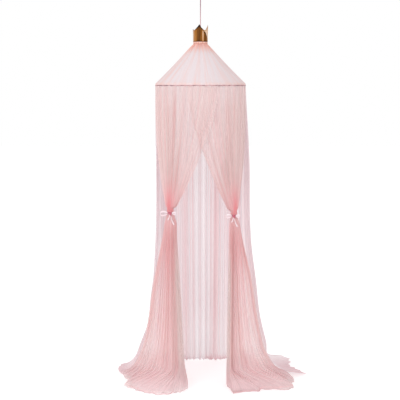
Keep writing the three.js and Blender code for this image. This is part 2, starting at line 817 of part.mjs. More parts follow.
function frontPanel(panel, frontOutline, backOutline) {
  const ribbonTop = seamHeight - panel.tieDrop;
  const upperPoint = (t, fall, face) => {
    const sweep = fall ** sweepPower;
    const step = 1 / (2 * panelColumns);
    const [out, depth] = sweptPoint(panel, t, sweep);
    const [outA, depthA] = sweptPoint(panel, Math.max(t - step, 0), sweep);
    const [outB, depthB] = sweptPoint(panel, Math.min(t + step, 1), sweep);
    const normal = new THREE.Vector2(depthB - depthA, outA - outB).normalize();
    if (normal.y > 0) {
      normal.negate();
    }
    const closing = 1 - fall ** liftPower;
    const settle = THREE.MathUtils.smoothstep(fall, 0, frontSettleShare) * closing;
    const fold = frontFold * settle * Math.sin(2 * Math.PI * panelFolds * t);
    const crossStart = seamRadius * crossStartShare;
    const crossing = 1 - THREE.MathUtils.smoothstep(out, crossStart, seamRadius * crossEndShare);
    const layerDepth = curtainDepth / 2 + crossClearance / 2 + frontFold * settle;
    const lift = panel.layer * crossing * closing * layerDepth;
    const edge = THREE.MathUtils.lerp(waistEdgeAngle, Math.PI - waistEdgeAngle, t);
    const waistDepth = waistHalfDepth * Math.sin(edge);
    const half = THREE.MathUtils.lerp(curtainDepth / 2, waistDepth, fall ** gatherPower);
    const reach = fold + lift + face * half;
    const height = THREE.MathUtils.lerp(curtainTop, ribbonTop, fall);
    return [out + normal.x * reach, depth + normal.y * reach, height];
  };
  const lowerPoint = (t, level, face) => {
    const opening = Math.min(1, bundleShares[level][0] / ruffleRunShare);
    const ruffle = 1 + ruffleShare * opening * Math.sin(2 * Math.PI * panelFolds * t);
    const reach = bundleReach(panel, level, 0);
    reach.front *= ruffle;
    reach.back *= ruffle;
    const [out, depth] = drawnPoint(panel, t, face, reach);
    return [out, depth, bundleHeight(panel, level)];
  };
  const floorPoint = (t, face) => {
    const [outShare, frontShare] = alongOutline(face > 0 ? frontOutline : backOutline, t);
    const out = panel.tieOut + outShare * (outShare > 0 ? panel.trainOut : panel.trainIn);
    const depth = -tieDepth - frontShare * (frontShare > 0 ? panel.trainFront : panel.trainBack);
    return [out, depth, floorHeight];
  };
  const pointAt = (i, j, face) => {
    const t = i / panelColumns;
    const firstDrawn = sweepShares.length;
    let point;
    if (j < firstDrawn) {
      point = upperPoint(t, sweepShares[j], face);
    } else if (j === firstDrawn) {
      point = [...drawnPoint(panel, t, face, waistReach), ribbonTop];
    } else if (j < panelRows) {
      point = lowerPoint(t, j - firstDrawn - 1, face);
    } else {
      point = floorPoint(t, face);
    }
    return [panel.side * point[0], point[1], point[2]];
  };
  const cloth = toSolid(sheetSolid(panelColumns, panelRows, pointAt));
  return fromSolid(cloth.subtract(toSolid(bundleHollow(panel))));
}
const leftCloth = frontPanel(leftPanel, leftTrainFrontShares, leftTrainBackShares);
const rightCloth = frontPanel(rightPanel, rightTrainFrontShares, rightTrainBackShares);
addPiece('curtain_left', leftCloth, 0xeab9bd, 0.95);
addPiece('curtain_right', rightCloth, 0xeab9bd, 0.95);

// Back curtain: three widths of cloth, seamed side by side
const backColumns = backFolds * facetsPerFold;
const drawPower = 2; // how late the curtain's edges draw back
const hemPower = 8; // how late it thickens towards the hem
const backSettleShare = 0.2; // of the drop, in which the folds grow from the seam
const slopeShare = 0.01; // of the drop, over which the cloth's slope is taken

function backPoint(place, fall) {
  const drawn = THREE.MathUtils.lerp(1, hemDrawShare, fall ** drawPower);
  const round = THREE.MathUtils.degToRad(backEdgeAngle) * place * drawn;
  const onLeft = readShares(leftFallShares, fall)[1];
  const onRight = readShares(rightFallShares, fall)[1];
  const swing = THREE.MathUtils.lerp(onLeft, onRight, (place + 1) / 2);
  const reach = seamRadius * readShares(backReachShares, place)[1] * swing;
  const height = THREE.MathUtils.lerp(curtainTop, floorHeight + hemDepth / 2, fall);
  return { round, radius: seamRadius + reach, height };
}

function backWidth(startAngle, endAngle) {
  const sideGap = THREE.MathUtils.radToDeg(gap / 2 / seamRadius);
  const placeAt = (t) => THREE.MathUtils.lerp(startAngle + sideGap, endAngle - sideGap, t) / backEdgeAngle;
  const pointAt = (i, j, face) => {
    const t = i / backColumns;
    const fall = backFallShares[j];
    const here = backPoint(placeAt(t), fall);
    const above = backPoint(placeAt(t), Math.max(fall - slopeShare, 0));
    const below = backPoint(placeAt(t), Math.min(fall + slopeShare, 1));
    const normal = new THREE.Vector2(above.height - below.height, below.radius - above.radius).normalize();
    const settle = THREE.MathUtils.smoothstep(fall, 0, backSettleShare);
    const fold = backFold * settle * Math.sin(2 * Math.PI * backFolds * t);
    const thickness = THREE.MathUtils.lerp(curtainDepth, hemDepth, fall ** hemPower);
    const offset = fold * normal.x + (face * thickness) / 2;
    const radius = here.radius + normal.x * offset;
    const height = Math.max(here.height + normal.y * offset, floorHeight);
    return [radius * Math.sin(here.round), radius * Math.cos(here.round), height];
  };
  return sheetSolid(backColumns, backFallShares.length - 1, pointAt);
}
addPiece('curtain_back_left', backWidth(-backEdgeAngle, -backSeamAngle), 0xecdbe2, 0.95);
addPiece('curtain_back_centre', backWidth(-backSeamAngle, backSeamAngle), 0xecdbe2, 0.95);
addPiece('curtain_back_right', backWidth(backSeamAngle, backEdgeAngle), 0xecdbe2, 0.95);

// Ribbon round the drawn cloth
function tieBand(panel) {
  const ribbonTop = seamHeight - panel.tieDrop;
  const bandReach = (extra) => ({
    out: waistHalfWidth + extra,
    in: waistHalfWidth + extra,
    front: waistHalfDepth + extra,
    back: waistHalfDepth + extra,
  });
  const reaches = { 1: bandReach(gap + ribbonThickness), [-1]: bandReach(gap) };
  const columns = 2 * (panelColumns + 1);
  const pointAt = (i, j, face) => {
    const onFront = i <= panelColumns;
    const t = onFront ? i / panelColumns : (columns - 1 - i) / panelColumns;
    const [out, depth] = drawnPoint(panel, t, onFront ? 1 : -1, reaches[face]);
    return [panel.side * out, depth, ribbonTop - j * ribbonWidth];
  };
  return sheetSolid(columns, 1, pointAt, true);
}

// A rounded block
function roundedBlock(width, depth, height, round) {
  const shape = new THREE.Shape();
  const x = width / 2 - round;
  const z = height / 2 - round;
  shape.absarc(x, z, round, 0, Math.PI / 2);
  shape.absarc(-x, z, round, Math.PI / 2, Math.PI);
  shape.absarc(-x, -z, round, Math.PI, 1.5 * Math.PI);
  shape.absarc(x, -z, round, 1.5 * Math.PI, 2 * Math.PI);
  const bevel = round / 2;
  const options = {
    depth: depth - 2 * bevel,
    curveSegments: 3,
    bevelSize: bevel,
    bevelOffset: -bevel,
    bevelThickness: bevel,
    bevelSegments: 1,
  };
  return new THREE.ExtrudeGeometry(shape, options).translate(0, 0, bevel - depth / 2).rotateX(Math.PI / 2);
}

// A bow loop's outline as shares of its length and half width: two handles and an end to each stretch
const loopOutlineShares = [
  [0.4, -0.7, 0.55, -1, 0.78, -1],
  [0.94, -1, 1, -0.5, 1, 0],
  [1, 0.5, 0.94, 1, 0.78, 1],
  [0.55, 1, 0.4, 0.7, 0, 0],
];
const loopWidthShare = 0.24; // half a loop's width to its length
const loopDepthShare = 0.8; // of the ribbon, whose edges curl in
const pinchShare = 3; // the loop's two sides stay together for this many thicknesses at the knot

// One loop of a bow: ribbon bent into a drop shape, pointing along +X from the knot
function bowLoop(length) {
  const drop = (inset) => {
    const shape = new THREE.Shape();
    const width = length * loopWidthShare - inset;
    const start = inset * pinchShare;
    const end = length - inset;
    const place = (share, index) => (index % 2 ? share * width : THREE.MathUtils.lerp(start, end, share));
    shape.moveTo(start, 0);
    for (const stretch of loopOutlineShares) {
      shape.bezierCurveTo(...stretch.map(place));
    }
    return shape;
  };
  const shape = drop(0);
  shape.holes.push(drop(ribbonThickness));
  const depth = ribbonWidth * loopDepthShare;
  const options = { depth, bevelEnabled: false, curveSegments: 4 };
  return new THREE.ExtrudeGeometry(shape, options).translate(0, 0, -depth / 2).rotateX(Math.PI / 2);
}

const tailTopShare = 0.25; // half the tail's width where it leaves the knot, to the ribbon
const tailEndShare = 0.4;
const tailSlantShare = 0.5; // slant of the cut end, to the ribbon
const tailBowShare = 0.5; // where down its length the tail bends
const tailLeanShare = 0.3; // how far a tail swings aside, to its length

// A ribbon end that hangs from the knot and is cut on the slant
function bowTail(length, lean) {
  const shape = new THREE.Shape();
  const top = ribbonWidth * tailTopShare;
  const end = ribbonWidth * tailEndShare;
  shape.moveTo(-top, 0);
  shape.quadraticCurveTo(-end, -length * tailBowShare, lean - end, -length);
  shape.lineTo(lean + end, -length + ribbonWidth * tailSlantShare);
  shape.quadraticCurveTo(end, -length * tailBowShare, top, 0);
  shape.closePath();
  const options = { depth: ribbonThickness, bevelEnabled: false, curveSegments: 6 };
  return new THREE.ExtrudeGeometry(shape, options).rotateX(Math.PI / 2);
}

function addBow(name, panel) {
  const knotFront = -tieDepth - waistHalfDepth - ribbonThickness - 2 * gap;
  const knotMiddle = knotFront - bowKnotDepth / 2;
  const knotX = panel.side * panel.tieOut;
  const knotZ = seamHeight - panel.tieDrop - ribbonWidth / 2;
  const satin = 0xf7dfe3;
  addPiece(`${name}_tie_band`, tieBand(panel), satin, 0.35);
  const knot = roundedBlock(bowKnotWidth, bowKnotDepth, bowKnotHeight, bowKnotRound);
  addPiece(`${name}_bow_knot`, knot, satin, 0.35).position.set(knotX, knotMiddle, knotZ);
  const loopStart = bowKnotWidth / 2 + gap;
  const loops = [
    ['outer', panel.side, panel.loopOut],
    ['inner', -panel.side, panel.loopIn],
  ];
  for (const [part, way, length] of loops) {
    const loop = addPiece(`${name}_bow_loop_${part}`, bowLoop(length), satin, 0.35);
    loop.rotation.y = way > 0 ? loopDroop : Math.PI - loopDroop;
    loop.position.set(knotX + way * loopStart, knotMiddle, knotZ);
  }
  const tailTop = knotZ - bowKnotHeight / 2 - gap;
  const tailFront = knotFront - bowKnotDepth + ribbonThickness;
  const shift = ribbonWidth * tailTopShare + gap;
  const tails = [
    ['long', 1, panel.tailLong],
    ['short', -1, panel.tailShort],
  ];
  for (const [part, way, length] of tails) {
    const lean = way * length * tailLeanShare;
    const tail = addPiece(`${name}_bow_tail_${part}`, bowTail(length, lean), satin, 0.35);
    tail.position.set(knotX + way * shift, tailFront, tailTop);
  }
}
addBow('left', leftPanel);
addBow('right', rightPanel);

export default canopy;
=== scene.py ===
import math

import bpy
import numpy as np
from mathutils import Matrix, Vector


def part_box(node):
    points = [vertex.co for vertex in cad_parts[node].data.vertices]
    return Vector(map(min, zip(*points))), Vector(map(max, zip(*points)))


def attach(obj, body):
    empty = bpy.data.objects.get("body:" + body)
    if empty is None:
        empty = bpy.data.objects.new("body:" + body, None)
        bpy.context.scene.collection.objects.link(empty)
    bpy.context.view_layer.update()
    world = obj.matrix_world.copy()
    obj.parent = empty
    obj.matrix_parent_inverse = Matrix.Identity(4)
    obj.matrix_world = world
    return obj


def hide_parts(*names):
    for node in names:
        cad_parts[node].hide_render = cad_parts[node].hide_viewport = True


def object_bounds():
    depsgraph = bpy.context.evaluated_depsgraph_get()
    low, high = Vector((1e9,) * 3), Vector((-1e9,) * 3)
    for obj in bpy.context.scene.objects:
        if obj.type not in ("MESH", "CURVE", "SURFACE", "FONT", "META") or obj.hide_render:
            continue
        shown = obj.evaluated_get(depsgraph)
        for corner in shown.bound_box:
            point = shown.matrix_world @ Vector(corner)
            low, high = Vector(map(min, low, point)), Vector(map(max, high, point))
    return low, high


# A hanging bed canopy with a crown on top: a cord carries a cloth cone on a hoop, and sheer curtains fall
# from the hoop to the floor. Metres, Z up, the front looks along -Y, and the origin is the middle of the
# ceiling plate's upper face.
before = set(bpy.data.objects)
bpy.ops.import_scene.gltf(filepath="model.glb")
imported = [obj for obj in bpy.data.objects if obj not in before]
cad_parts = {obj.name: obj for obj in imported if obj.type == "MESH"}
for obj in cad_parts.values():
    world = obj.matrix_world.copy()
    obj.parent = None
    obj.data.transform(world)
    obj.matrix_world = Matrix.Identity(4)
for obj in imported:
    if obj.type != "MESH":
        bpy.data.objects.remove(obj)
cad_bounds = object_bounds()


# Camera. It stands 5 m in front of the canopy at the height of the seam, where a standing person's eyes
# are, and tips down until it holds everything from the cord to the trains on the floor.
camera_pitch = 8.685


def add_object(name, data):
    made = bpy.data.objects.new(name, data)
    bpy.context.collection.objects.link(made)
    return made


camera_data = bpy.data.cameras.new("camera")
camera_data.sensor_width = 36
camera_data.lens = 67.5
camera = add_object("camera", camera_data)
camera.location = (-0.003, -5.0, -0.6609)
camera.rotation_euler = (math.radians(90 - camera_pitch), 0, 0)
bpy.context.scene.camera = camera
bpy.context.scene.view_settings.view_transform = "Standard"
bpy.context.scene.cycles.transparent_max_bounces = 64


# Studio. A white floor, a white surround and two large soft lamps in front, one at each side, at a level
# at which cloth shows its own colour. The floor keeps the canopy's shadow.
surround_light = 0.8
floor_half = 20.0
floor_white = 0.86
floor_lift = 0.08
lamps = {  # place, side of the square lamp, watts
    "lamp_left": ((-2.4, -3.6, -0.3), 2.4, 54),
    "lamp_right": ((3.0, -3.2, -0.8), 2.4, 20),
}
lamp_target = np.array((0.0, 0.0, -1.5))


def add_node(tree, kind, inputs=None, **settings):
    """A shader node, its settings, and its inputs as numbers or as the sockets that feed them"""
    made = tree.nodes.new("ShaderNode" + kind)
    for name, value in settings.items():
        setattr(made, name, value)
    for name, value in (inputs or {}).items():
        if isinstance(value, bpy.types.NodeSocket):
            tree.links.new(value, made.inputs[name])
        else:
            made.inputs[name].default_value = value
    return made


def calculate(tree, operation, first, second, third=0.5):
    """One sum of two or three numbers or sockets"""
    inputs = {0: first, 1: second, 2: third}
    return add_node(tree, "Math", inputs, operation=operation).outputs[0]


def seen_rays(tree):
    """1 for what the camera sees, by itself or in metal or through glass, and 0 for light on the object"""
    path = add_node(tree, "LightPath")
    mirrored = calculate(tree, "MAXIMUM", path.outputs["Is Glossy Ray"], path.outputs["Is Transmission Ray"])
    return calculate(tree, "MAXIMUM", path.outputs["Is Camera Ray"], mirrored)


world = bpy.data.worlds.new("surround")
world.use_nodes = True
bpy.context.scene.world = world
background = world.node_tree.nodes["Background"]
background.inputs["Color"].default_value = (1, 1, 1, 1)
seen = seen_rays(world.node_tree)
strength = calculate(world.node_tree, "MULTIPLY_ADD", seen, 1 - surround_light, surround_light)
world.node_tree.links.new(strength, background.inputs["Strength"])

floor_paint = bpy.data.materials.new("floor_paint")
floor_paint.use_nodes = True
tree = floor_paint.node_tree
tree.nodes.clear()
diffuse = add_node(tree, "BsdfDiffuse", {"Color": (floor_white, floor_white, floor_white, 1)})
lift = calculate(tree, "MULTIPLY", seen_rays(tree), 1 - floor_white * surround_light + floor_lift)
glow = add_node(tree, "Emission", {"Strength": lift})
both = add_node(tree, "AddShader", {0: diffuse.outputs[0], 1: glow.outputs[0]})
add_node(tree, "OutputMaterial", {"Surface": both.outputs[0]})

floor_height = cad_bounds[0][2]
floor_mesh = bpy.data.meshes.new("floor")
corners = [(x * floor_half, y * floor_half, floor_height) for x, y in ((-1, -1), (1, -1), (1, 1), (-1, 1))]
floor_mesh.from_pydata(corners, [], [(0, 1, 2, 3)])
floor_mesh.materials.append(floor_paint)
floor = add_object("floor", floor_mesh)

for name, (place, side, watts) in lamps.items():
    light = bpy.data.lights.new(name, "AREA")
    light.size = side
    light.energy = watts
    lamp = add_object(name, light)
    lamp.location = place
    aim = lamp_target - np.array(place)
    across = math.atan2(aim[0], -aim[1])
    lamp.rotation_euler = (math.atan2(math.hypot(aim[0], aim[1]), -aim[2]), 0, across + math.pi)


# Cord. A soft cord of three twisted strands, dyed rose, 5.5 mm thick. Its eye goes over the ceiling hook
# and is closed by a whipped knot, and the stopper knot at its lower end carries the hub.
cord_radius = 0.00275
yarn_fluff = 1.14
darkening_run = (-0.29, -0.11)  # heights between which the cord goes from pale rose below to dark rose above
lay_length = 0.017
strand_sides = 8
strand_steps = 12  # to each turn of the lay
coil_steps = 24  # to each turn of a knot
cord_bottom, cord_top = (corner.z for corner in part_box("hanging_cord"))
hook_wire_radius = 0.0025
touch = 0.0003
eye_turn = hook_wire_radius + touch + cord_radius
eye_leg = cord_radius + touch / 2
eye_knot_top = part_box("eye_knot")[1].z
stopper_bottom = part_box("stopper_knot")[0].z
wire_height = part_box("cord_eye")[1].z - eye_turn - cord_radius
leg_parting = (0.4, 0.6)  # the eye's legs part between these shares of the way up from its knot
whipping_radius = 0.0019
stopper_turn_radius = 0.0027
tail_length = 0.009
sharp_edge = math.radians(40)


def paint(red, green, blue):
    """A colour as the eye reads it, out of 255, in the linear light that a shader takes"""
    shares = [c / 255 for c in (red, green, blue)]
    return [s / 12.92 if s <= 0.04045 else ((s + 0.055) / 1.055) ** 2.4 for s in shares] + [1.0]


def new_surface(name, **numbers):
    """A material with one Principled shader, and the numbers that are the same all over it"""
    material = bpy.data.materials.new(name)
    material.use_nodes = True
    shader = material.node_tree.nodes["Principled BSDF"]
    for socket, value in numbers.items():
        shader.inputs[socket.replace("_", " ")].default_value = value
    return material, material.node_tree, shader


def grain(tree, coordinates, scale, detail=2.0, stretch=(1, 1, 1)):
    """Fine noise on stretched coordinates, in metres"""
    placed = add_node(tree, "VectorMath", {0: coordinates, 1: stretch}, operation="MULTIPLY")
    noise = add_node(tree, "TexNoise", {"Vector": placed.outputs[0], "Scale": scale, "Detail": detail})
    return noise.outputs["Fac"]


def object_place(tree):
    return add_node(tree, "TexCoord").outputs["Object"]


def blended(tree, share, first, second):
    """A colour from first to second by a share"""
    return add_node(tree, "MixRGB", {"Fac": share, "Color1": first, "Color2": second}).outputs[0]


def colour_by(tree, shader, share, first, second):
    tree.links.new(blended(tree, share, first, second), shader.inputs["Base Color"])


def relief(tree, shader, height, strength, distance):
    bump = add_node(tree, "Bump", {"Height": height, "Strength": strength, "Distance": distance})
    tree.links.new(bump.outputs[0], shader.inputs["Normal"])


def spread(tree, value, low, high):
    """A number from low to high, evened to run from 0 to 1"""
    return add_node(tree, "MapRange", {"Value": value, "From Min": low, "From Max": high}).outputs[0]


def cord_yarn():
    material, tree, shader = new_surface("cord_yarn", Roughness=0.75, Sheen_Weight=0.3)
    place = object_place(tree)
    height = add_node(tree, "SeparateXYZ", {0: place}).outputs["Z"]
    rising = spread(tree, height, *darkening_run)
    shade = blended(tree, rising, paint(230, 184, 186), paint(138, 84, 106))
    fibres = grain(tree, place, 1500, 3.0, (1, 1, 0.35))
    worn = calculate(tree, "MULTIPLY", spread(tree, fibres, 0.35, 0.75), 0.3)
    colour_by(tree, shader, worn, shade, paint(240, 212, 216))
    relief(tree, shader, fibres, 0.5, 0.0004)
    return material


def frames_along(line):
    """Unit tangents of a line, and two directions square to them that don't twist"""
    tangents = np.gradient(line, axis=0)
    tangents /= np.linalg.norm(tangents, axis=1)[:, None]
    helper = np.eye(3)[np.argmin(np.abs(tangents[0]))]
    side = np.cross(tangents[0], helper)
    sides = []
    for tangent in tangents:
        side = side - tangent * (side @ tangent)
        side = side / np.linalg.norm(side)
        sides.append(side)
    sides = np.array(sides)
    return tangents, sides, np.cross(tangents, sides)


def run_along(line):
    """How far along a line each of its points is"""
    return np.concatenate([[0], np.cumsum(np.linalg.norm(np.diff(line, axis=0), axis=1))])


def skin(rows, sides, closed=False):
    """Faces between rings of points: the last ring meets the first one, or else each end has a cap"""
    faces = []
    for row in range(rows if closed else rows - 1):
        below = (row + 1) % rows
        for i in range(sides):
            j = (i + 1) % sides
            faces.append((row * sides + i, row * sides + j, below * sides + j, below * sides + i))
    if not closed:
        faces.append(tuple(reversed(range(sides))))
        faces.append(tuple(range((rows - 1) * sides, rows * sides)))
    return faces


def tube(line, radius, sides, taper=0.0):
    """Points and faces of a round tube along a line. Its ends are rounded over the taper's length."""
    run = run_along(line)
    radii = np.full(len(line), float(radius))
    if taper:
        inside = np.clip(np.minimum(run, run[-1] - run) / taper, 0, 1)
        radii *= np.sqrt(np.maximum(1 - (1 - inside) ** 2, 0.02))
    _, first, second = frames_along(line)
    angle = np.linspace(0, 2 * math.pi, sides, endpoint=False)[:, None]
    ring = np.cos(angle) * first[:, None, :] + np.sin(angle) * second[:, None, :]
    points = (line[:, None, :] + radii[:, None, None] * ring).reshape(-1, 3)
    return points, skin(len(line), sides)


def laid_strands(line, radius):
    """Three strands twisted round a line, which fill a cord of that radius"""
    strand = radius / (1 + 2 / math.sqrt(3))
    run = run_along(line)
    places = np.linspace(0, run[-1], max(8, int(run[-1] / lay_length * strand_steps)))
    fine = np.stack([np.interp(places, run, line[:, k]) for k in range(3)], 1)
    _, first, second = frames_along(fine)
    tubes = []
    for k in range(3):
        turn = 2 * math.pi * (places / lay_length + k / 3)
        aside = np.cos(turn)[:, None] * first + np.sin(turn)[:, None] * second
        tubes.append(tube(fine + (radius - strand) * aside, strand, strand_sides))
    return tubes


def upright(top, bottom, steps):
    """A straight line down the middle"""
    return np.array([(0, 0, z) for z in np.linspace(top, bottom, steps)])


def wound_knot(box, turns, yarn_radius, core_share, swell=0.0):
    """Turns of yarn round a core, which fill a box. The turns may swell out at the middle."""
    low, high = box
    radius = high.x - yarn_radius
    share = np.linspace(0, 1, turns * coil_steps + 1)
    angle = 2 * math.pi * turns * share
    reach = radius * (1 - swell + swell * np.sin(math.pi * share))
    height = high.z - yarn_radius + (low.z - high.z + 2 * yarn_radius) * share
    coil = np.stack([reach * np.cos(angle), reach * np.sin(angle), height], 1)
    core = tube(upright(high.z, low.z, 5), radius * core_share, 20)
    return [tube(coil, yarn_radius, 10, taper=yarn_radius), core]


def add_piece(name, parts, material, body, nodes):
    """One smooth mesh of all the parts, which moves with a body and stands for CAD nodes"""
    points, faces = [], []
    for part_points, part_faces in parts:
        start = len(points)
        points.extend(tuple(p) for p in part_points)
        faces.extend(tuple(start + i for i in face) for face in part_faces)
    mesh = bpy.data.meshes.new(name)
    mesh.from_pydata(points, [], faces)
    mesh.shade_smooth()
    mesh.set_sharp_from_angle(angle=sharp_edge)
    mesh.materials.append(material)
    made = add_object(name, mesh)
    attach(made, body)
    if nodes:
        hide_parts(*nodes)
    return made


yarn = cord_yarn()
cord_line = upright(cord_top, cord_bottom, 40)
cord_strands = laid_strands(cord_line, cord_radius * yarn_fluff)
cord = add_piece("cord", cord_strands, yarn, "cord", ["hanging_cord"])


def bezier(points, steps):
    """Points on a cubic curve with two ends and two handles"""
    a, b, c, d = (np.asarray(p, float) for p in points)
    t = np.linspace(0, 1, steps)[:, None]
    return a * (1 - t) ** 3 + 3 * b * t * (1 - t) ** 2 + 3 * c * t**2 * (1 - t) + d * t**3


parting_low, parting_high = (eye_knot_top + (wire_height - eye_knot_top) * share for share in leg_parting)
leg = bezier([
    (0, eye_leg, eye_knot_top), (0, eye_leg, parting_low),
    (0, eye_turn, parting_high), (0, eye_turn, wire_height),
], 16)
over = np.linspace(0, math.pi, 24)
over_hook = np.stack([0 * over, eye_turn * np.cos(over), wire_height + eye_turn * np.sin(over)], 1)
eye_line = np.concatenate([leg[:-1], over_hook, (leg * (1, -1, 1))[::-1][1:]])
eye_strands = laid_strands(eye_line, cord_radius)
cord_eye = add_piece("cord_eye_loop", eye_strands, yarn, "eye_link", ["cord_eye"])

whipping = wound_knot(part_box("eye_knot"), 4, whipping_radius, 1.0)
eye_knot = add_piece("eye_whipping", whipping, yarn, "eye_link", ["eye_knot"])

stopper_coils = wound_knot(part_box("stopper_knot"), 3, stopper_turn_radius, 0.8, swell=0.18)
tail = laid_strands(upright(stopper_bottom, stopper_bottom - tail_length, 8), cord_radius * 0.9)
stopper = add_piece("stopper_coils", [*stopper_coils, *tail], yarn, "cord", ["stopper_knot"])


# Ceiling plate and hook. The plate is a turned steel disc with a boss and two open countersunk holes, and
# the hook is round wire bent to an open bowl. Both are enamelled white.
plate_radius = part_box("ceiling_plate")[1].x
plate_thickness = 0.004
plate_chamfer = 0.0015
plate_edge = 0.0003
boss_radius = 0.007
boss_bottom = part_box("ceiling_plate")[0].z
socket_radius = hook_wire_radius + touch
socket_top = -0.0016
screw_radius = 0.0022
screw_head_radius = 0.0042
screw_offset = 0.017
cutter_overrun = 0.002
hook_radius = 0.011
shank_run = 0.006
hook_end = 0.0018
hook_bend = math.radians(50)
hook_tip = math.radians(-188)


def mottled(name, first, second, patches, bumps=None, contrast=None, polish=None, **numbers):
    """A surface that goes from one colour to another in patches. Its bumps are given by their scale, strength
    and height, and its polish may vary with them."""
    material, tree, shader = new_surface(name, **numbers)
    place = object_place(tree)
    share = grain(tree, place, patches)
    if contrast:
        share = spread(tree, share, *contrast)
    colour_by(tree, shader, share, first, second)
    if bumps:
        scale, strength, height = bumps
        fine = grain(tree, place, scale)
        relief(tree, shader, fine, strength, height)
    if polish:
        tree.links.new(spread(tree, fine, *polish), shader.inputs["Roughness"])
    return material


def turned(profile, sides):
    """A turned solid. The profile's points are radius and height, from axis to axis or all the way round."""
    on_axis = profile[0][0] == 0 and profile[-1][0] == 0
    inner = profile[1:-1] if on_axis else profile
    angle = np.linspace(0, 2 * math.pi, sides, endpoint=False)
    points = [(r * math.cos(a), r * math.sin(a), z) for r, z in inner for a in angle]
    return points, skin(len(inner), sides, closed=not on_axis)


def combine(base, others, operation, body, nodes, material, bevel):
    """Joins or cuts a solid with others, then rounds its edges"""
    made = add_piece(nodes[0] + "_body", [base], material, body, nodes)
    for i, other in enumerate(others):
        tool = add_piece(f"{nodes[0]}_tool_{i}", [other], material, body, [])
        step = made.modifiers.new("combine", "BOOLEAN")
        step.operation = operation
        step.solver = "EXACT"
        step.object = tool
        bpy.context.view_layer.update()
        done = bpy.data.meshes.new_from_object(made.evaluated_get(bpy.context.evaluated_depsgraph_get()))
        made.modifiers.clear()
        made.data = done
        bpy.data.objects.remove(tool)
    rounding = made.modifiers.new("rounded_edges", "BEVEL")
    rounding.width = bevel
    rounding.segments = 2
    rounding.limit_method = "ANGLE"
    rounding.angle_limit = sharp_edge
    return made


white_enamel = mottled(
    "white_enamel", paint(236, 233, 228), paint(222, 218, 212), 90, bumps=(900, 0.15, 0.0001),
    polish=(-0.6, 2.2), Metallic=0.0, Coat_Weight=0.3, Coat_Roughness=0.15,
)
plate_profile = [
    (0, 0), (plate_radius, 0), (plate_radius, plate_chamfer - plate_thickness),
    (plate_radius - plate_chamfer, -plate_thickness), (boss_radius, -plate_thickness),
    (boss_radius, boss_bottom), (socket_radius, boss_bottom), (socket_radius, socket_top), (0, socket_top),
]
countersink = screw_head_radius - screw_radius
drill_profile = [
    (0, cutter_overrun), (screw_radius, cutter_overrun), (screw_radius, countersink - plate_thickness),
    (screw_head_radius, -plate_thickness), (screw_head_radius, -plate_thickness - cutter_overrun),
    (0, -plate_thickness - cutter_overrun),
]
drills = []
for way in (-1, 1):
    points, faces = turned(drill_profile[::-1], 32)
    drills.append(([(x, y + way * screw_offset, z) for x, y, z in points], faces))
combine(
    turned(plate_profile[::-1], 96), drills, "DIFFERENCE", "ceiling_fixture", ["ceiling_plate"],
    white_enamel, plate_edge,
)

bend_run = hook_radius / math.tan(hook_bend)
corner_height = boss_bottom - shank_run - bend_run
hook_centre = corner_height - hook_radius / math.sin(hook_bend)
shank = upright(socket_top - touch, boss_bottom - shank_run, 12)
corner = np.array((0, 0, corner_height))
bowl_angle = np.linspace(hook_bend, hook_tip, 60)
bowl = np.stack([
    hook_radius * np.cos(bowl_angle), 0 * bowl_angle, hook_centre + hook_radius * np.sin(bowl_angle),
], 1)
share = np.linspace(0, 1, 14)[:, None]
bend = (1 - share) ** 2 * shank[-1] + 2 * share * (1 - share) * corner + share**2 * bowl[0]
hook_line = np.concatenate([shank[:-1], bend[:-1], bowl])
hook = tube(hook_line, hook_wire_radius, 20, taper=hook_end)
add_piece("ceiling_hook_wire", [hook], white_enamel, "ceiling_fixture", ["ceiling_hook"])


# Hub. A moulded ring of natural white plastic with six spokes and a bored boss, which spreads the neck of
# the cone and rests on the stopper knot.
hub_low, hub_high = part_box("top_hub")
hub_radius = hub_high.x
hub_rim = 0.003
hub_edge = 0.0005
hub_boss = 0.011
hub_bore = cord_radius + 0.00085
spoke_width = 0.004
spoke_height = 0.009
spokes = 6


def moulded_plastic(name, light, dark):
    return mottled(name, light, dark, 120, bumps=(1400, 0.12, 0.0001), Roughness=0.45)


def ring_profile(outer, inner):
    return [(inner, hub_low.z), (outer, hub_low.z), (outer, hub_high.z), (inner, hub_high.z)]


def block(low, high, turn):
    """A box, turned about Z"""
    outline = ((low[0], low[1]), (high[0], low[1]), (high[0], high[1]), (low[0], high[1]))
    corners = [(x, y, z) for z in (low[2], high[2]) for x, y in outline]
    cos, sin = math.cos(turn), math.sin(turn)
    points = [(x * cos - y * sin, x * sin + y * cos, z) for x, y, z in corners]
    return points, [(3, 2, 1, 0), (4, 5, 6, 7), (0, 1, 5, 4), (1, 2, 6, 5), (2, 3, 7, 6), (3, 0, 4, 7)]


hub_middle = (hub_low.z + hub_high.z) / 2
bars = [
    block(
        (hub_boss - hub_rim / 2, -spoke_width / 2, hub_middle - spoke_height / 2),
        (hub_radius - hub_rim / 2, spoke_width / 2, hub_middle + spoke_height / 2),
        2 * math.pi * i / spokes,
    )
    for i in range(spokes)
]
rim = turned(ring_profile(hub_radius, hub_radius - hub_rim), 96)
boss = turned(ring_profile(hub_boss, hub_bore), 48)
hub_plastic = moulded_plastic("hub_plastic", paint(243, 239, 232), paint(232, 226, 218))
combine(rim, [boss, *bars], "UNION", "canopy", ["top_hub"], hub_plastic, hub_edge)


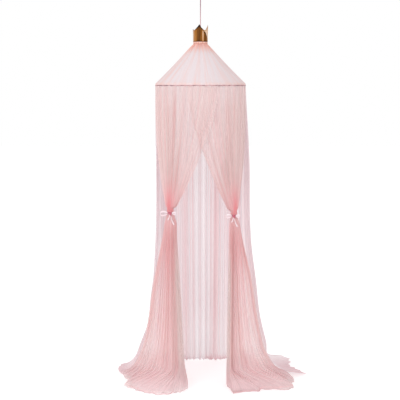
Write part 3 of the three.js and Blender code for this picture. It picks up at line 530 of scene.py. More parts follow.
# Hoop. Four sprung rods of white glass fibre, whose ends meet in plastic ferrules, run in a gathered cloth
# sleeve. The sleeve is open at the back, where the rods are pushed in.
piping_radius = 0.002
piping_low, piping_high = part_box("seam_piping")
seam_radius = piping_high.x - piping_radius
seam_height = (piping_low.z + piping_high.z) / 2
rods = 4
rod_radius = 0.004
rod_clearance = 0.0005
ferrule_low, ferrule_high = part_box("hoop_ferrule_1")
hoop_height = (ferrule_low.z + ferrule_high.z) / 2
roof_cloth = 0.002
ferrule_bore = rod_radius + rod_clearance
ferrule_wall = 0.0013
ferrule_radius = ferrule_bore + ferrule_wall
ferrule_sides = 18
ferrule_angle = 90 / 16
first_joint = 45  # degrees from the front
sleeve_wall, sleeve_ease = 0.0009, 0.0015
sleeve_radius = ferrule_radius + sleeve_ease + sleeve_wall
wrap_radius = sleeve_radius + sleeve_wall
hoop_radius = seam_radius - wrap_radius - roof_cloth / 2
sleeve_opening = 0.044
sleeve_pucker = 0.0005
sleeve_columns, sleeve_rows = 20, 420
down_threads = (1, 0.08, 1)  # how woven cloth's streaks are drawn out


def around_axis(radius, angle, height):
    """Points round the middle, at angles from the front"""
    return np.stack(np.broadcast_arrays(radius * np.sin(angle), -radius * np.cos(angle), height), -1)


def arc(radius, height, start, end, steps):
    """Points on a level arc, between two angles in degrees"""
    return around_axis(radius, np.radians(np.linspace(start, end, steps)), height)


def smooth(value, start, end):
    share = np.clip((value - start) / (end - start), 0, 1)
    return share * share * (3 - 2 * share)


def mix(first, second, share):
    return first + (second - first) * share


def wander(seed, across, down, quick, slow, waves=6):
    """An uneven field over a cloth, about -1 to 1. It varies quickly across the cloth and slowly down it."""
    chance = np.random.default_rng(seed)
    field = 0
    for _ in range(waves):
        turns = chance.uniform(0.25, 1) * quick * across + chance.uniform(-1, 1) * slow * down
        field = field + np.sin(2 * math.pi * (turns + chance.uniform()))
    return field / math.sqrt(waves)


def add_cloth(name, points, material, nodes, slot, wraps=False, thickness=0.0, **layers):
    """A sheet from a grid of points, rows down and columns across, with numbers kept at its points"""
    rows, columns = points.shape[:2]
    i, j = np.meshgrid(np.arange(columns if wraps else columns - 1), np.arange(rows - 1))
    a, b = j * columns + i, j * columns + (i + 1) % columns
    faces = np.stack([a, a + columns, b + columns, b], -1).reshape(-1, 4)
    mesh = bpy.data.meshes.new(name)
    mesh.from_pydata(points.reshape(-1, 3).tolist(), [], faces.tolist())
    mesh.shade_smooth()
    for layer, values in layers.items():
        if values.ndim == 3:
            mesh.attributes.new(layer, "FLOAT_VECTOR", "POINT").data.foreach_set("vector", values.ravel())
        else:
            values = np.broadcast_to(values, (rows, columns))
            mesh.attributes.new(layer, "FLOAT", "POINT").data.foreach_set("value", values.ravel())
    mesh.materials.append(material)
    made = add_object(name, mesh)
    if thickness:
        solid = made.modifiers.new("thickness", "SOLIDIFY")
        solid.thickness = thickness
        solid.offset = 0
    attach(made, "canopy")
    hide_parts(*nodes)
    return made


def cloth_places(across, down):
    """Where each point of a grid lies on the flat cloth, in metres"""
    across, down = np.broadcast_arrays(across, down)
    return np.stack([across, down, 0 * across], -1)


def kept_number(tree, name):
    """A number kept at a cloth's points"""
    return add_node(tree, "Attribute", attribute_name=name).outputs["Fac"]


def flat_place(tree):
    return add_node(tree, "Attribute", attribute_name="cloth").outputs["Vector"]


def made_uneven(tree, share, noise, amount, middle):
    """A share that noise makes larger and smaller"""
    return calculate(tree, "MULTIPLY_ADD", noise, amount, calculate(tree, "SUBTRACT", share, middle))


def streaked_tint(tree, streaks, amount, middle):
    """The tint layer, made uneven by streaks along the threads"""
    return made_uneven(tree, kept_number(tree, "tint"), spread(tree, streaks, 0.3, 0.7), amount, middle)


def woven_cloth(name, light, deep, veil, weave=0.0012):
    """Closely woven cloth: its tint layer runs from light to deep, and light comes through a little"""
    material, tree, shader = new_surface(name, Roughness=0.85, Alpha=veil)
    place = flat_place(tree)
    share = streaked_tint(tree, grain(tree, place, 60, 3.0, down_threads), 0.4, 0.2)
    colour_by(tree, shader, share, light, deep)
    relief(tree, shader, grain(tree, place, 1 / weave, 1.0), 0.25, 0.0003)
    return material


rod_plastic = moulded_plastic("rod_fibre", paint(245, 243, 238), paint(232, 230, 224))
ferrule_plastic = moulded_plastic("ferrule_plastic", paint(216, 216, 216), paint(198, 198, 200))
rod_end = math.degrees(rod_clearance / hoop_radius)
for i in range(rods):
    start = first_joint + 360 / rods * i
    rod_line = arc(hoop_radius, hoop_height, start + rod_end, start + 360 / rods - rod_end, 64)
    rod = tube(rod_line, rod_radius, 14)
    add_piece(f"rod_{i + 1}", [rod], rod_plastic, "canopy", [f"hoop_rod_{i + 1}"])
    joint = arc(hoop_radius, hoop_height, start - ferrule_angle, start + ferrule_angle, 12)
    outside, bore = (tube(joint, radius, ferrule_sides)[0] for radius in (ferrule_radius, ferrule_bore))
    bore = bore.reshape(len(joint), ferrule_sides, 3)[::-1].reshape(-1, 3)
    shell = np.concatenate([outside, bore]), skin(2 * len(joint), ferrule_sides, closed=True)
    node = f"hoop_ferrule_{i + 1}"
    add_piece(f"ferrule_{i + 1}", [shell], ferrule_plastic, "canopy", [node])

sleeve_gap = math.degrees(sleeve_opening / 2 / hoop_radius)
along = np.linspace(0, 1, sleeve_rows)[:, None]
around = np.linspace(0, 2 * math.pi, sleeve_columns)[None, :]
sleeve_line = arc(hoop_radius, hoop_height, sleeve_gap - 180, 180 - sleeve_gap, sleeve_rows)
_, level_side, up_side = frames_along(sleeve_line)
pucker = sleeve_pucker * wander(3, along * 60 + 0 * around, around / 2 / math.pi, 1.0, 1.0)
section = sleeve_radius - sleeve_pucker + pucker
sleeve_points = sleeve_line[:, None, :] + section[..., None] * (
    np.cos(around)[..., None] * level_side[:, None, :] + np.sin(around)[..., None] * up_side[:, None, :]
)
sleeve_run = along * 2 * math.pi * hoop_radius
sleeve_material = woven_cloth("sleeve_cloth", paint(246, 234, 232), paint(236, 216, 215), 0.95)
sleeve = add_cloth(
    "sleeve", sleeve_points, sleeve_material, ["hoop_sleeve"], "sleeve_cloth",
    cloth=cloth_places(around * sleeve_radius, sleeve_run), tint=0.4 + 0.3 * pucker / sleeve_pucker,
)


# Roof. One layer of closely woven cloth, pale pink, gathered tightly round the hub and let out down the
# cone. It goes round the sleeved hoop and straight down to the seam.
neck_seat = 0.001  # how far below the hub the cone begins
lip_bottom, collar_top = (corner.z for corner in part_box("roof_cover"))
cone_top = hub_low.z - neck_seat
collar_radius = hub_radius + touch + roof_cloth / 2
gather_columns = 7  # to each gather
roof_gathers = 84
gather_depth = 0.0017
roof_tension = 0.0022
roof_hollow = 0.004
roof_light = paint(238, 225, 228)
roof_deep = paint(247, 190, 176)
wrap = wrap_radius + roof_cloth / 2
cone_out, cone_up = hoop_radius - collar_radius, hoop_height - cone_top
wrap_start = math.atan2(cone_up, cone_out) + math.pi / 2 + math.asin(wrap / math.hypot(cone_out, cone_up))
wrap_angles = np.linspace(wrap_start, 0, 9)
wrap_profile = [(hoop_radius + wrap * math.cos(a), hoop_height + wrap * math.sin(a)) for a in wrap_angles]
cone_profile = [
    (mix(collar_radius, wrap_profile[0][0], s), mix(cone_top, wrap_profile[0][1], s))
    for s in np.linspace(0, 1, 40)[:-1]
]
collar_profile = [(collar_radius, z) for z in np.linspace(collar_top, cone_top, 5)[:-1]]
lip_profile = [(hoop_radius + wrap, z) for z in np.linspace(hoop_height, lip_bottom, 4)[1:]]
roof_profile = np.array([*collar_profile, *cone_profile, *wrap_profile, *lip_profile])
roof_radius, roof_z = roof_profile[:, :1], roof_profile[:, 1:]
roof_run = run_along(roof_profile)[:, None]
down_cone = np.clip((cone_top - roof_z) / (cone_top - hoop_height), 0, 1)
turn = np.linspace(0, 1, roof_gathers * gather_columns, endpoint=False)[None, :]
gather_phase = 2 * math.pi * (roof_gathers * turn) + 1.2 * wander(11, turn, down_cone, 9, 0.3)
fading = 1 - smooth(down_cone, 0.0, 0.8)
seam_gather = 0.25 * smooth(down_cone, 0.97, 1.0)
strength = np.clip(1 + 0.5 * wander(12, turn, down_cone, 24, 0.6), 0.2, 2)
pleat = gather_depth * (0.12 + 0.88 * fading**1.4 + seam_gather) * strength * np.sin(gather_phase)
tension = roof_tension * smooth(down_cone, 0, 0.12) * (1 - down_cone) * wander(13, turn, down_cone, 14, 0.25)
reach = roof_radius + pleat + tension - roof_hollow * np.sin(math.pi * down_cone)
angle = 2 * math.pi * turn
roof_points = around_axis(reach, angle, roof_z)
# painted shade: the cloth is tinted deeper on its left and right flanks, where it turns edge on to the front
flank_shade = smooth(np.abs(np.sin(angle)), 0.55, 1.0) * 0.35
roof_tint = (
    0.05 + 0.8 * (1 - smooth(down_cone, 0, 0.3)) + flank_shade * (1 - 0.5 * down_cone)
    + 0.22 * wander(14, turn, down_cone, 30, 0.5) * (1 - 0.7 * down_cone) + 0.25 * smooth(down_cone, 0.93, 1)
)
roof_material = woven_cloth("roof_cloth", roof_light, roof_deep, 0.97)
roof = add_cloth(
    "roof", roof_points, roof_material, ["roof_cover"], "roof_cloth", wraps=True,
    cloth=cloth_places(angle * seam_radius, roof_run), tint=roof_tint,
)


# Neck band. A gathered strip of peach cloth that hides the roof's raw gathers under the crown. A line of
# running stitches along its lower edge holds it to the neck.
band_low, band_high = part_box("neck_band")
band_gap = 0.0011
band_radius = collar_radius + roof_cloth / 2 + touch + band_gap
band_gathers = 64
band_gathering = 1.6
band_pleat_depth = 0.0009
band_belly = 0.0003
band_thickness = 0.0005
band_flat = (0.46, 0.012)
stitches = 72
stitch_place = 0.16  # up the band
thread_radius = 0.00035


def bump(value, middle, width):
    """1 at the middle, and falling off to 0 on both sides of it"""
    return np.exp(-(((value - middle) / width) ** 2))


up = np.linspace(0, 1, 9)[:, None]
turn = np.linspace(0, 1, band_gathers * gather_columns, endpoint=False)[None, :]
pinched = 1 - 0.75 * bump(up, stitch_place, 0.1)
pleat = band_pleat_depth * pinched * (1 + 0.3 * wander(21, turn, up, 20, 0.4))
gather_phase = 2 * math.pi * band_gathers * turn + 0.8 * wander(22, turn, up, 7, 0.5)
reach = band_radius + band_belly * np.sin(math.pi * up) + pleat * np.sin(gather_phase)
angle = 2 * math.pi * turn
band_points = around_axis(reach, angle, mix(band_low.z, band_high.z, up))[::-1]
band_material = woven_cloth("neck_cloth", paint(247, 212, 200), paint(238, 176, 160), 1.0)
band = add_cloth(
    "neck_gathers", band_points, band_material, ["neck_band"], "neck_cloth", wraps=True,
    thickness=band_thickness, cloth=cloth_places(angle * band_radius * band_gathering, up * band_flat[1]),
    tint=0.5 + 0.4 * wander(23, turn, up, 26, 0.5),
)
stitch_radius, stitch_z = band_radius + band_pleat_depth, mix(band_low.z, band_high.z, stitch_place)
stitch_parts = []
for start in np.arange(stitches) * 360 / stitches:
    stitch = arc(stitch_radius, stitch_z, start, start + 300 / stitches, 6)
    stitch_parts.append(tube(stitch, thread_radius, 6, taper=0.0004))
thread = mottled("stitch_thread", paint(214, 132, 122), paint(178, 96, 92), 2200, Roughness=0.6)
add_piece("neck_stitches", stitch_parts, thread, "canopy", [])


# Crown. A strip of creased gold leatherette, cut into points and wound round the neck, with its ends
# lapped at the right of the front. A pale cloth backing lines it. Its colour carries painted shade and
# painted reflections, in dark and pale bands round it.
crown_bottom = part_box("crown_band")[0].z
crown_wall = 0.0011
lining_wall = 0.0006
crown_height = 0.109
crown_lean = 0.002
crown_crease = 0.0006
crown_grid, lining_grid = (300, 18), (240, 16)  # columns and rows
lining_setback = 0.0025
crown_turns = 1.2188
lining_turns = 0.979
crown_front = math.radians(-7.5)
lining_radius = collar_radius + roof_cloth / 2 + touch
crown_radius = lining_radius + lining_wall + touch
crown_edge = [  # turns, then height
    (0, 0.6), (0.0833, 0.66), (0.1667, 0.68), (0.3125, 1), (0.4167, 0.66), (0.5208, 0.93), (0.625, 0.6),
    (0.7292, 0.76), (0.8542, 0.64), (0.9167, 0.745), (0.9583, 0.86), (1, 1), (1.0417, 0.8), (1.0833, 0.66),
    (1.1354, 0.52), (1.1771, 0.34), (1.2188, 0.06),
]
crown_bands = [  # turns, width, and how pale or dark the strip is there: painted shade in dark bands, painted reflections in pale ones
    (0.18, 0.12, 1.1), (0.55, 0.1, 0.3), (0.72, 0.05, -0.3), (0.785, 0.016, -0.9), (0.838, 0.022, 1.1),
    (0.905, 0.02, 0.1), (0.985, 0.04, -0.45), (1.0, 0.012, -0.2), (1.076, 0.011, 1.1), (1.13, 0.04, -0.4),
]


def leatherette():
    material, tree, shader = new_surface("gold_leatherette", Metallic=0.15, Specular_IOR_Level=0.15)
    place = object_place(tree)
    # creases: noise that moves the painted shade and painted reflections up and down
    creases = grain(tree, place, 55, 3.0, (1, 1, 0.12))
    share = made_uneven(tree, kept_number(tree, "shade"), creases, 0.7, 0.35)
    # from painted shade in near black brown, through gold, to painted reflections in pale gold
    ramp = add_node(tree, "ValToRGB", {"Fac": share})
    stops = [
        (0.0, paint(34, 14, 2)), (0.24, paint(116, 68, 14)), (0.55, paint(172, 112, 50)),
        (0.8, paint(218, 172, 126)), (1.0, paint(240, 212, 190)),
    ]
    while len(ramp.color_ramp.elements) < len(stops):
        ramp.color_ramp.elements.new(0.5)
    for element, (position, colour) in zip(ramp.color_ramp.elements, stops):
        element.position = position
        element.color = colour
    tree.links.new(ramp.outputs["Color"], shader.inputs["Base Color"])
    pores = add_node(tree, "TexVoronoi", {"Vector": place, "Scale": 900}).outputs["Distance"]
    tree.links.new(spread(tree, pores, -0.8, 1.6), shader.inputs["Roughness"])
    relief(tree, shader, pores, 0.3, 0.0002)
    return material


def crown_strip(radius, turns, setback, columns, rows):
    """Points of the strip's middle, and their turns, rises and the edge above them"""
    edge_turns, edge_heights = np.array(crown_edge).T
    turned_by = np.union1d(np.linspace(0, turns, columns), edge_turns[edge_turns <= turns])[None, :]
    top = crown_height * np.interp(turned_by, edge_turns, edge_heights) - setback
    up = np.linspace(1, 0, rows)[:, None]
    rise = up * top
    risen = rise / crown_height
    angle = crown_front + 2 * math.pi * turned_by
    crease = crown_crease * wander(31, angle / 2 / math.pi + 0 * up, up, 22, 0.5)
    crease = crease * np.sqrt(np.clip(risen, 0, 1))
    reach = radius + (crown_wall + touch) * turned_by + crown_lean * risen**2 + crease
    return around_axis(reach, angle, crown_bottom + rise), turned_by + 0 * up, rise, top + 0 * up


points, turns, rise, top = crown_strip(crown_radius + crown_wall / 2, crown_turns, 0, *crown_grid)
# the shade layer: painted shade in the dark bands and painted reflections in the pale ones
shade = 0.42 + 0.45 * sum(tone * bump(turns, middle, width) for middle, width, tone in crown_bands)
outer_turn = smooth(turns, 0.88, 0.94)
cut_width = mix(0.003, 0.011, outer_turn) + 0.012 * bump(turns, 1, 0.016)
cut_edge = smooth(rise, top - cut_width, top - 0.25 * cut_width)
# darker along the top edge, most on the outer lap and at the front tip, and painted shade at the foot, where
# the crown sits on the neck
shade = shade - 0.55 * cut_edge * mix(0.4, 1, outer_turn) - 0.25 * (1 - smooth(rise, 0, 0.008))
add_cloth("crown", points, leatherette(), ["crown_band"], "crown_gold", thickness=crown_wall, shade=shade)

points, turns, rise, _ = crown_strip(
    lining_radius + lining_wall / 2, lining_turns, lining_setback, *lining_grid,
)
lining_material = woven_cloth("crown_backing", paint(240, 214, 196), paint(222, 184, 160), 1.0, weave=0.0009)
add_cloth(
    "crown_backing", points, lining_material, ["crown_lining"], "crown_lining", thickness=lining_wall,
    cloth=cloth_places(2 * math.pi * turns * lining_radius, rise),
    tint=0.4 + 0.2 * wander(32, turns, rise, 20, 3),
)


# Seam piping. A dark rose cord sewn in a bias strip along the seam between the roof and the curtains. It
# rides up and down a little from stitch to stitch.
piping_wander = 0.0011
angle = np.linspace(0, 2 * math.pi, 480)
sway = piping_wander * wander(41, angle / 2 / math.pi, 0, 40, 0) * smooth(np.sin(angle / 2), 0, 0.05)
piping_line = around_axis(seam_radius + 0.0005, angle, seam_height + sway)
piping = tube(piping_line, piping_radius, 10)
piping_material = mottled(
    "seam_piping", paint(130, 76, 92), paint(210, 164, 168), 30, bumps=(1500, 0.4, 0.0004),
    contrast=(0.4, 0.6), Roughness=0.8,
)
add_piece("piping", [piping], piping_material, "canopy", ["seam_piping"])


# Tulle. Fine nylon net, dyed pink. One layer covers a little over a third of what lies behind it. Gathered
# cloth covers more, as more layers lie in a line of sight, and light that goes in comes out on all sides.
net_hole = 0.0014
net_cover = 0.38
light_through = 0.38
fewest_layers, most_layers = 0.8, 9.0


def tulle(name, pale, deep, resting):
    """Net cloth: the veil layer is how much it covers, the tint layer runs from pale to deep, and the rest
    layer is 1 where it lies on the floor"""
    material, tree, shader = new_surface(name, Roughness=0.9, Specular_IOR_Level=0.2)
    place = flat_place(tree)
    share = streaked_tint(tree, grain(tree, place, 26, 3.0, (1, 0.04, 1)), 0.24, 0.12)
    dye = blended(tree, kept_number(tree, "rest"), blended(tree, share, pale, deep), resting)
    tree.links.new(dye, shader.inputs["Base Color"])
    net = add_node(tree, "TexVoronoi", {"Vector": place, "Scale": 1 / net_hole}, feature="DISTANCE_TO_EDGE")
    mesh = spread(tree, net.outputs["Distance"], 0.35, 0.05)
    threads = spread(tree, grain(tree, place, 240, 2.0, (1, 0.05, 1)), 0.25, 0.75)
    alpha = kept_number(tree, "veil")
    for share in (mesh, threads):
        alpha = calculate(tree, "MULTIPLY", alpha, calculate(tree, "MULTIPLY_ADD", share, 0.16, 0.92))
    alpha = add_node(tree, "Clamp", {"Value": alpha}).outputs[0]
    relief(tree, shader, mesh, 0.2, 0.0002)
    through = add_node(tree, "BsdfTranslucent", {"Color": dye})
    lit = add_node(tree, "MixShader", {0: light_through, 1: shader.outputs[0], 2: through.outputs[0]})
    holes = add_node(tree, "BsdfTransparent")
    cloth = add_node(tree, "MixShader", {0: alpha, 1: holes.outputs[0], 2: lit.outputs[0]})
    tree.links.new(cloth.outputs[0], tree.nodes["Material Output"].inputs["Surface"])
    return material


def fall_normals(points):
    """Level directions square to the cloth's rows"""
    along = np.gradient(points, axis=1)
    normals = np.stack([-along[..., 1], along[..., 0]], -1)
    length = np.linalg.norm(normals, axis=-1, keepdims=True)
    return normals / np.maximum(length, 1e-9)


def column_runs(points):
    """The length of cloth at each point along its row"""
    return np.linalg.norm(np.gradient(points[..., :2], axis=1), axis=-1)


def box_pleat(phase):
    """A pleat from -1 to 1 whose folds are flatter than a wave's"""
    return np.tanh(1.8 * np.sin(phase)) / math.tanh(1.8)


def veil_of(base, points, flat_width, extra=0.0, share=1.0):
    """How much the net covers: it has more layers where it is gathered and where a pleat turns edge on"""
    covered = np.maximum(column_runs(base), 1e-6)
    layers = np.clip(flat_width / (base.shape[1] - 1) / covered, fewest_layers, most_layers)
    steep = column_runs(points) / covered
    steep = np.clip(steep / np.mean(steep, axis=1, keepdims=True), 0.45, 2.0)
    return 1 - (1 - net_cover) ** (share * layers * steep**0.3 + extra)


def read_curve(places, table):
    """A smooth curve through a table of places and heights"""
    x, y = np.array(table, float).T
    slopes = np.gradient(y, x)
    places = np.clip(places, x[0], x[-1])
    low = np.clip(np.searchsorted(x, places, side="right") - 1, 0, len(x) - 2)
    step = x[low + 1] - x[low]
    t = (places - x[low]) / step
    start, end = y[low], y[low + 1]
    return (
        start * (2 * t**3 - 3 * t**2 + 1) + end * (3 * t**2 - 2 * t**3)
        + step * (slopes[low] * (t**3 - 2 * t**2 + t) + slopes[low + 1] * (t**3 - t**2))
    )


# Back curtain. Three widths of net, pleated into the seam at the sides and the back. The sides draw out
# over the floor behind the trains, and the hem pools a little in the middle.
curtain_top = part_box("curtain_left")[1].z
back_edge = math.radians(97)
back_seam = math.radians(32)
back_flat = (0.9, 2.05)
back_rows = 100
back_pleats = 38
pleat_columns = 9  # to each pleat
back_pleat_depth = 0.0039
broad_wave = 0.004
hem_ruffle = 0.014
hem_curl = 0.006
hem_stack = 0.0075
hem_draw, side_draw, tip_draw = 0.856, 0.955, 0.915
tip_start, pool_start = 0.982, 0.972
hem_edge = (0.985, 0.995)  # between these shares of a width or a length its turned hem begins
above_floor = 0.001
left_fall = [
    (0, 0), (0.25, -0.015), (0.4, -0.012), (0.55, 0.02), (0.64, 0.06), (0.72, 0.137), (0.82, 0.225),
    (0.9, 0.43), (0.945, 0.56), (0.982, 0.8), (1, 1),
]
right_fall = [
    (0, 0), (0.12, 0.026), (0.25, 0.06), (0.46, 0.081), (0.52, 0.1), (0.655, 0.18), (0.78, 0.25),
    (0.87, 0.346), (0.94, 0.43), (0.982, 0.72), (1, 1),
]
back_reach = [
    (-1, 0.85), (-0.83, 1.04), (-0.7, 0.82), (-0.48, 0.24), (-0.24, 0.08), (0, 0.04), (0.3, 0.14),
    (0.5, 0.48), (0.73, 1.48), (0.84, 1.27), (1, 1.53),
]
back_tulle = tulle("back_tulle", paint(250, 243, 246), paint(247, 222, 225), paint(236, 208, 212))
peach = [  # place, width, and how much warmer and denser the band is
    (-0.235, 0.03, 0.8), (-0.12, 0.02, 0.3), (-0.05, 0.015, -0.6), (0.05, 0.02, -0.3), (0.235, 0.045, 1.0),
    (0.42, 0.03, 0.4),
]


def back_width(name, start, end, seed):
    t = np.linspace(0, 1, back_pleats * pleat_columns)[None, :]
    fall = np.linspace(0, 1, back_rows)[:, None] ** 0.9
    place = mix(start, end, t) / back_edge
    at_side = smooth(np.abs(place), 0.6, 0.9)
    drawn = mix(1, mix(hem_draw, side_draw, at_side), fall**2)
    drawn = drawn - (side_draw - tip_draw) * at_side * smooth(fall, tip_start, 1)
    swing = mix(read_curve(fall, left_fall), read_curve(fall, right_fall), (place + 1) / 2)
    radius = seam_radius * (1 + read_curve(place, back_reach) * swing)
    height = mix(curtain_top, floor_height + hem_stack, fall)
    base = around_axis(radius, back_edge * place * drawn, height) * (1, -1, 1)

    # pleats all the way down, and a ruffle where the hem pools
    phase = 2 * math.pi * back_pleats * t + 3.2 * wander(seed, t, fall, 7, 0.4)
    uneven = np.clip(1 + 0.4 * wander(seed + 1, t, fall, 26, 0.6), 0.25, 1.9)
    pleat = back_pleat_depth * (0.2 + 0.8 * smooth(fall, 0, 0.16)) * uneven * np.sin(phase)
    pleat = pleat * (1 - 0.6 * at_side * smooth(fall, 0.93, 1))
    broad = broad_wave * smooth(fall, 0.05, 0.5) * wander(seed + 2, t, fall, 4, 0.7)
    points = base.copy()
    points[..., :2] += fall_normals(base) * (pleat + broad)[..., None]
    pooled = smooth(fall, pool_start, 1.0)
    ruffle = hem_ruffle * pooled * wander(seed + 3, t, 0, 16, 0) * (1 - 0.85 * at_side)
    points[..., :2] += fall_normals(base) * ruffle[..., None]
    points[..., 2] += hem_curl * pooled * np.abs(wander(seed + 6, t, fall, 24, 3))
    points[..., 2] = np.maximum(points[..., 2], floor_height + above_floor)

    # how dense and how warm the net looks: bands down it, a thinner lower part and a peach hem
    warm = sum(strong * bump(place, middle, width) for middle, width, strong in peach)
    bunched = np.clip(1.12 + 0.2 * wander(seed + 5, t, fall, 26, 0.4), 0.4, 1.7)
    bunched = bunched * (1 - np.where(place < 0, 0.4, 0.15) * at_side * (1 - pooled)) * (1 + 0.25 * warm)
    bunched = bunched * (1 - 0.25 * smooth(fall, 0.75, 0.93) * (1 - at_side))
    peach_hem = pooled * smooth(place, 0.04, 0.16) * (1 - smooth(place, 0.5, 0.6))
    lying = 0.1 * pooled + 1.3 * peach_hem + 3 * at_side * smooth(fall, 0.9, 0.97)
    made = add_cloth(
        name + "_net", points, back_tulle, [name], "back_tulle",
        cloth=cloth_places(t * back_flat[0], fall * back_flat[1]),
        veil=veil_of(base, points, back_flat[0], lying + smooth(fall, *hem_edge), bunched),
        tint=0.35 + 0.3 * wander(seed + 4, t, fall, 22, 0.5) + warm + 0.9 * peach_hem,
        rest=smooth(fall, 0.95, 0.99) * mix(0.1, 0.9, at_side),
    )


back_width("curtain_back_left", -back_edge, -back_seam, 100)
back_width("curtain_back_centre", -back_seam, back_seam, 110)
back_width("curtain_back_right", back_seam, back_edge, 120)


# Front panels. Each is one sheet of net, 1.5 m wide, pleated into the seam from its side to past the
# middle, where the left one lies over the right one. Its ribbon draws it to a waist, and it opens below
# into a train on the floor.
tie_depth = 0.185
waist_width = 0.0235
waist_depth = 0.018
waist_edge = 0.16
waist_fill = 0.93
waist_pleat, seam_pleat, hanging_pleat = 0.0012, 0.0024, 0.006
narrowest_pleat, widest_pleat, pleat_room = 0.002, 0.0078, 0.3
sheet_wave = 0.003
crossing_gap, crossing_gain = 0.0052, 0.0036
cross_start, cross_end = 0.32, 0.6
panel_outer = math.radians(82)
ribbon_width = 0.012
panel_flat = (1.5, 2.25)
panel_pleats = 54
upper_rows, lower_rows = 56, 90
floor_start = 0.86  # share of the drop below the ribbon at which the cloth comes to the floor
hem_height, lobe_height, turned_back_height = 0.004, 0.003, 0.007
lap_level, lap_height = 8.0, 0.014
lying_from, lying_at = 2.02 - 0.3, 2.02  # metres of cloth below the seam
hem_rows = 4
skirt_start, skirt_end = math.radians(-125), math.radians(300)  # more than once round below the ribbon
bundle_shares = [  # drop, then how far it has opened out, in, to the front and to the back
    (0, 0, 0, 0, 0), (0.06, 0.04, 0.16, 0.07, 0.05), (0.145, 0.075, 0.165, 0.12, 0.09),
    (0.31, 0.15, 0.26, 0.25, 0.19), (0.525, 0.235, 0.42, 0.33, 0.33), (0.735, 0.365, 0.56, 0.45, 0.53),
    (0.86, 0.55, 0.65, 0.56, 0.77), (0.935, 0.77, 0.71, 0.7, 0.9), (0.98, 0.93, 0.88, 0.9, 1),
    (1, 1, 1, 1, 1),
]
panels = {  # the thin bands are place, width and loss
    "left": {
        "side": -1, "layer": 1, "tie_drop": 0.812, "tie_out": 0.196, "cross": math.radians(22.5),
        "out": 0.37, "in": 0.125, "front": 0.146, "back": 0.19,
        "core": 0.38, "flare": 0.04, "outer_fade": 1.0,
        "thin": [(0.52, 0.03, 0.5), (0.62, 0.025, 0.55), (0.7, 0.03, 0.5)],
        "front_shares": [
            (0.98, -1.05), (0.846, -0.495), (0.778, -0.42), (0.932, -0.05), (0.76, 0.226), (0.54, 0.623),
            (0.37, 0.815), (0.192, 1), (-0.088, 0.815), (-0.536, 0.712), (-0.984, 0.295),
        ],
        "back_shares": [
            (0.97, -1.12), (0.74, -1.09), (0.36, -1), (0.01, -0.895), (-0.61, -0.66), (-0.89, -0.29),
            (-0.97, 0.2),
        ],
    },
    "right": {
        "side": 1, "layer": -1, "tie_drop": 0.83, "tie_out": 0.217, "cross": math.radians(17.5),
        "out": 0.445, "in": 0.042, "front": 0.115, "back": 0.185,
        "core": 0.32, "flare": 0.03, "outer_fade": 0.75,
        "thin": [(0.53, 0.03, 0.6), (0.62, 0.02, 0.3)],
        "front_shares": [
            (0.99, -0.9), (1, -0.38), (0.863, -0.205), (0.953, 0.08), (0.757, 0.55), (0.5, 0.443),
            (0.348, 0.79), (0.22, 0.72), (0.038, 1), (-0.405, 0.48), (-0.93, 0.043),
        ],
        "back_shares": [
            (0.96, -0.99), (0.636, -1.03), (0.3, -0.97), (0.05, -0.865), (-0.64, -0.57), (-0.976, -0.19),
            (-0.9, -0.03),
        ],
    },
}
front_tulle = tulle("front_tulle", paint(249, 237, 235), paint(252, 192, 196), paint(238, 208, 211))


def swept(panel, t, fall):
    """The middle of the cloth above the ribbon: how far out it is and how deep"""
    sweep = fall ** mix(2.4, 1.5, smooth(t, 0, 0.35))
    angle = mix(panel_outer, -panel["cross"], t)
    edge = mix(waist_edge, math.pi - waist_edge, t)
    waist_out = panel["tie_out"] + waist_width * np.cos(edge)
    out = mix(seam_radius * np.sin(angle), waist_out, sweep)
    left = (1 - sweep) * seam_radius
    sine = np.clip((-out - waist_out * sweep) / np.maximum(left, 1e-9), -1, 1)
    depth = np.where(out < 0, left * np.sqrt(1 - sine**2), left * np.cos(angle))
    return out, -depth - sweep * tie_depth


def read_outline(shares, t):
    """A smooth line through an outline's corners, read at a share of its length"""
    shares = np.array(shares, float)
    run = run_along(shares)
    return [read_curve(t, np.stack([run / run[-1], shares[:, k]], 1)) for k in range(2)]


